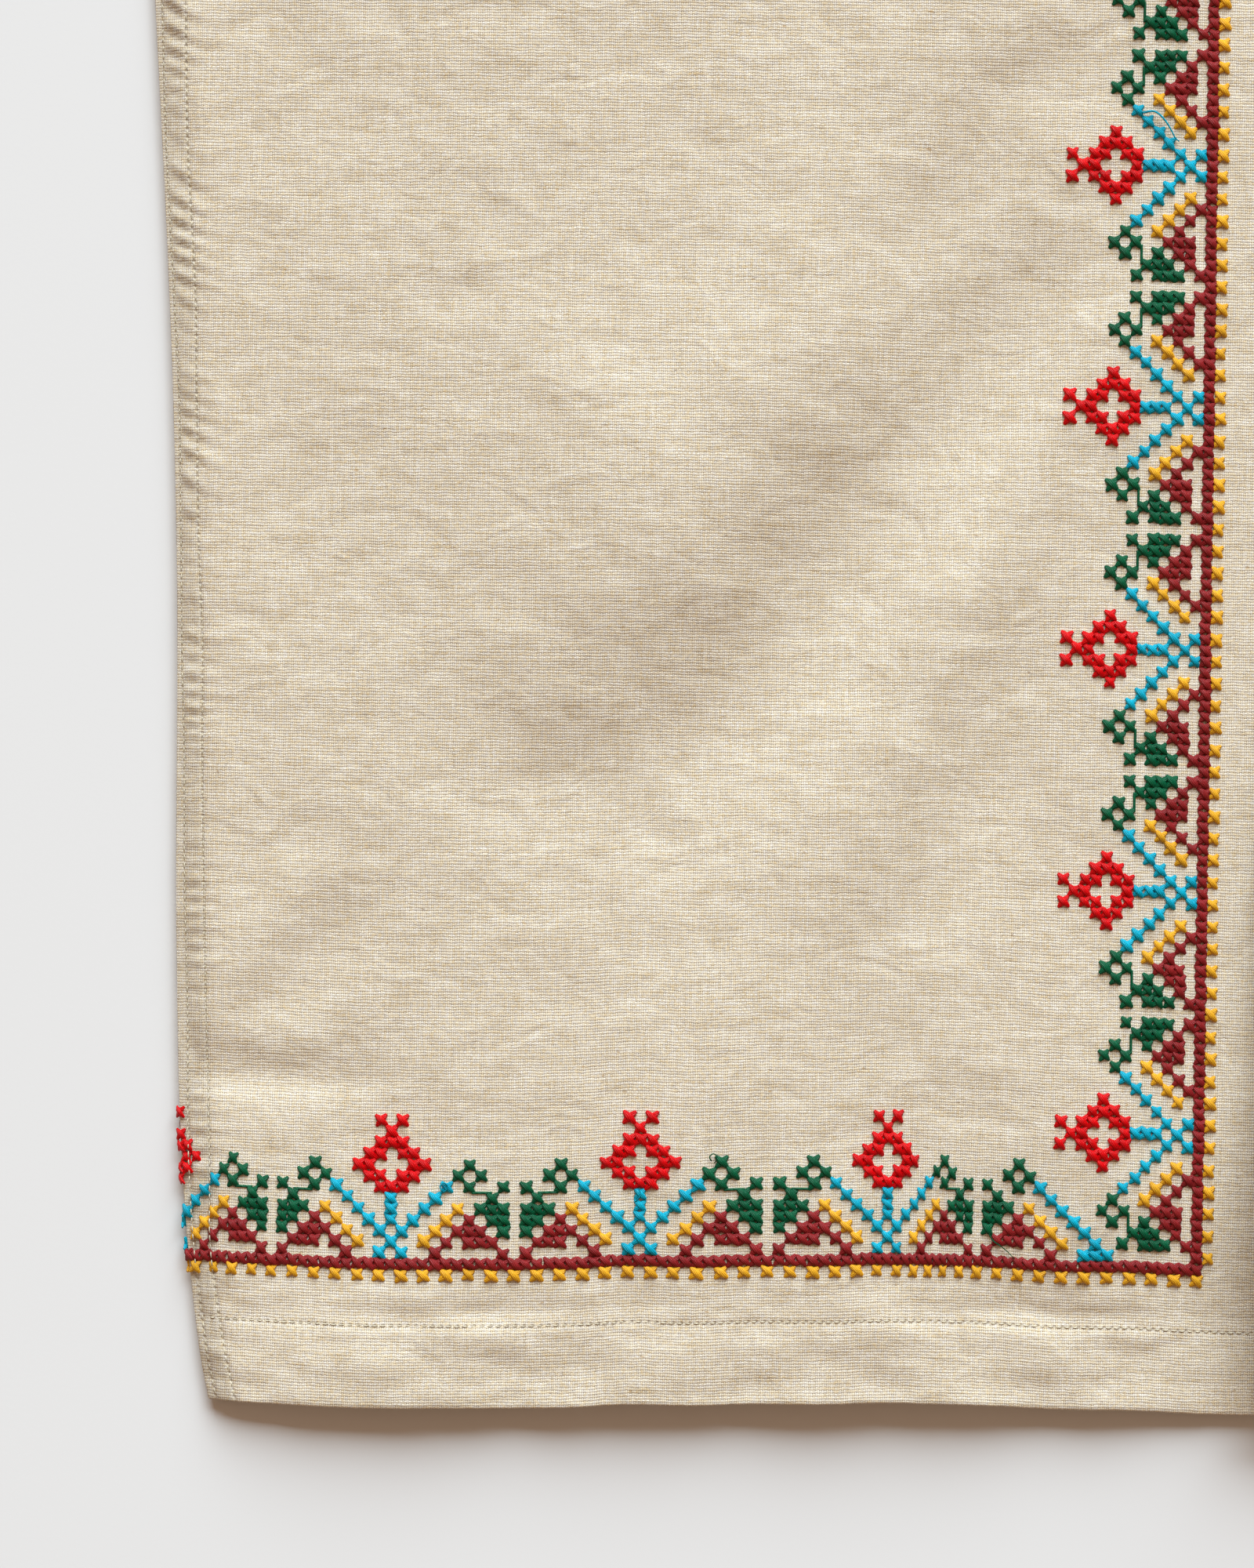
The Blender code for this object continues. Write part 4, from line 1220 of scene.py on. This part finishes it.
def wear(rows, name, tree):
    """One mesh of machine stitches along several paths."""
    pitch = stitch_settings().seam_stitch
    places, turns = map(np.concatenate, zip(*(seam_run(path, upward, pitch) for path, upward in rows)))
    values = {"Stitch": pitch * 0.74, "Strand": 0.00034, "Unevenness": 0.05, "Seed": 3}
    return sew(name, places, turns, np.ones_like(places), tree, values, sewing_thread())


def buttonholes(name, tree):
    """Close bars of thread on both sides of each slit, with a longer bar at its ends."""
    bars = []
    for height in BUTTON_HEIGHTS:
        low, high = height - 0.0100, height + 0.0058
        for h in np.arange(low, high, 0.00042):
            bars += [(-0.0009, h, 1.0), (0.0009, h, 1.0)]
        bars += [(0.0, h, 2.3) for h in (low - 0.0006, low - 0.0002, high + 0.0002, high + 0.0006)]
    x, h, spread = np.array(bars).T
    places, turns = on_front(x, h, 1, 0.0006)
    spreads = np.stack([spread, np.ones_like(x), np.ones_like(x)], axis=1)
    values = {"Stitch": 0.0015, "Strand": 0.00044, "Unevenness": 0.04, "Seed": 9}
    return sew(name, places + (0.0, 0.0, ABOVE), turns, spreads, tree, values, sewing_thread())


def button_thread(name):
    """Two short bars of thread over each button, from hole to hole."""
    half = 0.5 * trim_settings().hole_pitch
    radius = 0.00026
    runs = []
    for number, height in enumerate(BUTTON_HEIGHTS, 1):
        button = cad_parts[f"button_{number}"]
        top = max((button.matrix_world @ corner.co).z for corner in button.data.vertices)
        y = height - ORIGIN_HEIGHT
        for x in (-half - 0.0002, -half + 0.0002, half - 0.0002, half + 0.0002):
            runs.append([(x, y + along * half, top + above, radius) for along, above in (
                (-1.0, -0.0009), (-0.6, 0.0001), (0.0, 0.00034), (0.6, 0.0001), (1.0, -0.0009))])
    return thread_mesh(name, runs, sewing_thread())


class SHIRT_OT_cloth(bpy.types.Operator):
    """Build the back, both fronts and both sleeves"""
    bl_idname = "shirt.cloth"
    bl_label = "Cloth"

    def execute(self, context):
        for name, side in (("front_right", -1), ("front_left", 1)):
            piece = seat(front_piece("linen_" + name, side), name)
        piece = seat(back_piece("linen_back"), "back")
        for name, side in (("sleeve_right", -1), ("sleeve_left", 1)):
            piece = seat(sleeve_piece("linen_" + name, side), name)
        return {"FINISHED"}


class SHIRT_OT_collar(bpy.types.Operator):
    """Build the stand collar"""
    bl_idname = "shirt.collar"
    bl_label = "Collar"

    def execute(self, context):
        piece = seat(collar_piece("linen_collar_band"), "collar_band")
        return {"FINISHED"}


class SHIRT_OT_embroidery(bpy.types.Operator):
    """Work the cross-stitch border on both fronts and round the back"""
    bl_idname = "shirt.embroidery"
    bl_label = "Cross-stitch border"

    def execute(self, context):
        stitches = stitch_settings()
        tree = stitch_tree("cross_stitches", True, 6, 4)
        plain = stitch_tree("cross_stitches_hidden", True, 4, 2)
        values = {"Stitch": stitches.stitch, "Strand": stitches.strand, "Unevenness": 0.11, "Seed": 7}
        for name, points, way in (("front_right", cross_points(-1), tree),
                                  ("front_left", cross_points(1), tree),
                                  ("back", back_points(), plain)):
            for colour in ("red", "yellow", "green", "turquoise", "maroon"):
                seat(sew(f"border_{colour}_{name}", *points[colour], way, values, floss(colour)))
        for name, side in (("right", -1), ("left", 1)):
            runs = link_runs(side) + loose_runs("green", side)
            seat(thread_mesh(f"loose_green_{name}", runs, floss("green")))
        seat(thread_mesh("loose_turquoise_right", loose_runs("turquoise", -1), floss("turquoise")))
        return {"FINISHED"}


class SHIRT_OT_stitching(bpy.types.Operator):
    """Sew the machine stitching of seams, hems and placket"""
    bl_idname = "shirt.stitching"
    bl_label = "Machine stitching"

    def execute(self, context):
        tree = stitch_tree("machine_stitches", False, 4, 2)
        for name, side in (("right", -1), ("left", 1)):
            seat(wear(front_rows(side), f"stitching_front_{name}", tree))
            seat(wear(sleeve_rows(side), f"stitching_sleeve_{name}", tree))
        seat(wear(back_rows(), "stitching_back", tree))
        seat(wear(collar_rows(), "stitching_collar", tree))
        seat(buttonholes("buttonholes", tree))
        return {"FINISHED"}


class SHIRT_OT_buttons(bpy.types.Operator):
    """Make the buttons and the thread that holds them"""
    bl_idname = "shirt.buttons"
    bl_label = "Buttons"

    def execute(self, context):
        horn = shared_material("turned_horn_effect_polyester", horn_material)
        for number in range(1, len(BUTTON_HEIGHTS) + 1):
            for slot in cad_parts[f"button_{number}"].material_slots:
                slot.material = horn
        seat(button_thread("button_thread"))
        return {"FINISHED"}


class SHIRT_OT_stage(bpy.types.Operator):
    """Set the floor, the lights and the camera"""
    bl_idname = "shirt.stage"
    bl_label = "Stage"

    def execute(self, context):
        scene = bpy.context.scene
        mesh = bpy.data.meshes.new("floor")
        corners = [(FLOOR_REACH * x, FLOOR_REACH * y, 0.0) for x, y in ((-1, -1), (1, -1), (1, 1), (-1, 1))]
        mesh.from_pydata(corners, [], [(0, 1, 2, 3)])
        floor = link_mesh("floor", mesh)
        floor.location.z = -0.0001
        mesh.materials.append(shared_material("matt_painted_board", floor_material))
        lamp = bpy.data.lights.new("window", "AREA")
        lamp.shape = "RECTANGLE"
        lamp.size, lamp.size_y = 20.0, 15.0
        lamp.energy = 7950.0
        lamp.color = (0.888, 1.023, 1.106)
        window = bpy.data.objects.new("window", lamp)
        elevation, bearing = math.radians(30.0), math.radians(8.0)
        away = Vector((math.sin(bearing) * math.cos(elevation),
                       math.cos(bearing) * math.cos(elevation), math.sin(elevation)))
        window.location = Vector((-0.12, -0.1, 0.0)) + away * WINDOW_DISTANCE
        window.rotation_euler = (-away).to_track_quat("-Z", "Y").to_euler()
        window.visible_camera = False
        scene.collection.objects.link(window)
        room = bpy.data.worlds.new("room")
        room.use_nodes = True
        plug(room.node_tree, room.node_tree.nodes["Background"],
             {"Color": (1.0, 0.66, 0.44, 1.0), "Strength": 0.325})
        scene.world = room
        scene.view_settings.view_transform = "Standard"
        lens = bpy.data.cameras.new("camera")
        lens.lens, lens.sensor_width = 100.0, 36.0
        lens.clip_start = 0.05
        camera = bpy.data.objects.new("camera", lens)
        camera.location = (-0.1615, 0.1425 - ORIGIN_HEIGHT, 1.005)
        camera.rotation_euler = (0.0, 0.0, math.radians(0.8))
        scene.collection.objects.link(camera)
        scene.camera = camera
        return {"FINISHED"}


class SHIRT_PT_panel(bpy.types.Panel):
    """Steps of the shirt, in their order"""
    bl_label = "Shirt"
    bl_idname = "SHIRT_PT_panel"
    bl_space_type = "VIEW_3D"
    bl_region_type = "UI"
    bl_category = "Shirt"

    def draw(self, context):
        for settings in GROUPS:
            group = getattr(context.scene, settings)
            for key in group.bl_rna.properties.keys():
                if key not in ("rna_type", "name"):
                    self.layout.prop(group, key)
        for step in STEPS:
            self.layout.operator(step.bl_idname)


GROUPS = {"shirt_cloth": ClothSettings, "shirt_stitches": StitchSettings, "shirt_trim": TrimSettings}
STEPS = (SHIRT_OT_cloth, SHIRT_OT_collar, SHIRT_OT_embroidery, SHIRT_OT_stitching, SHIRT_OT_buttons,
         SHIRT_OT_stage)


def register():
    for name, group in GROUPS.items():
        bpy.utils.register_class(group)
        setattr(bpy.types.Scene, name, PointerProperty(type=group))
    for made in STEPS + (SHIRT_PT_panel,):
        bpy.utils.register_class(made)


def unregister():
    for made in reversed(STEPS + (SHIRT_PT_panel,)):
        bpy.utils.unregister_class(made)
    for name, group in reversed(list(GROUPS.items())):
        delattr(bpy.types.Scene, name)
        bpy.utils.unregister_class(group)


def main():
    register()
    bpy.ops.shirt.cloth()
    bpy.ops.shirt.collar()
    bpy.ops.shirt.embroidery()
    bpy.ops.shirt.stitching()
    bpy.ops.shirt.buttons()
    bpy.ops.shirt.stage()


if __name__ == "__main__":
    main()
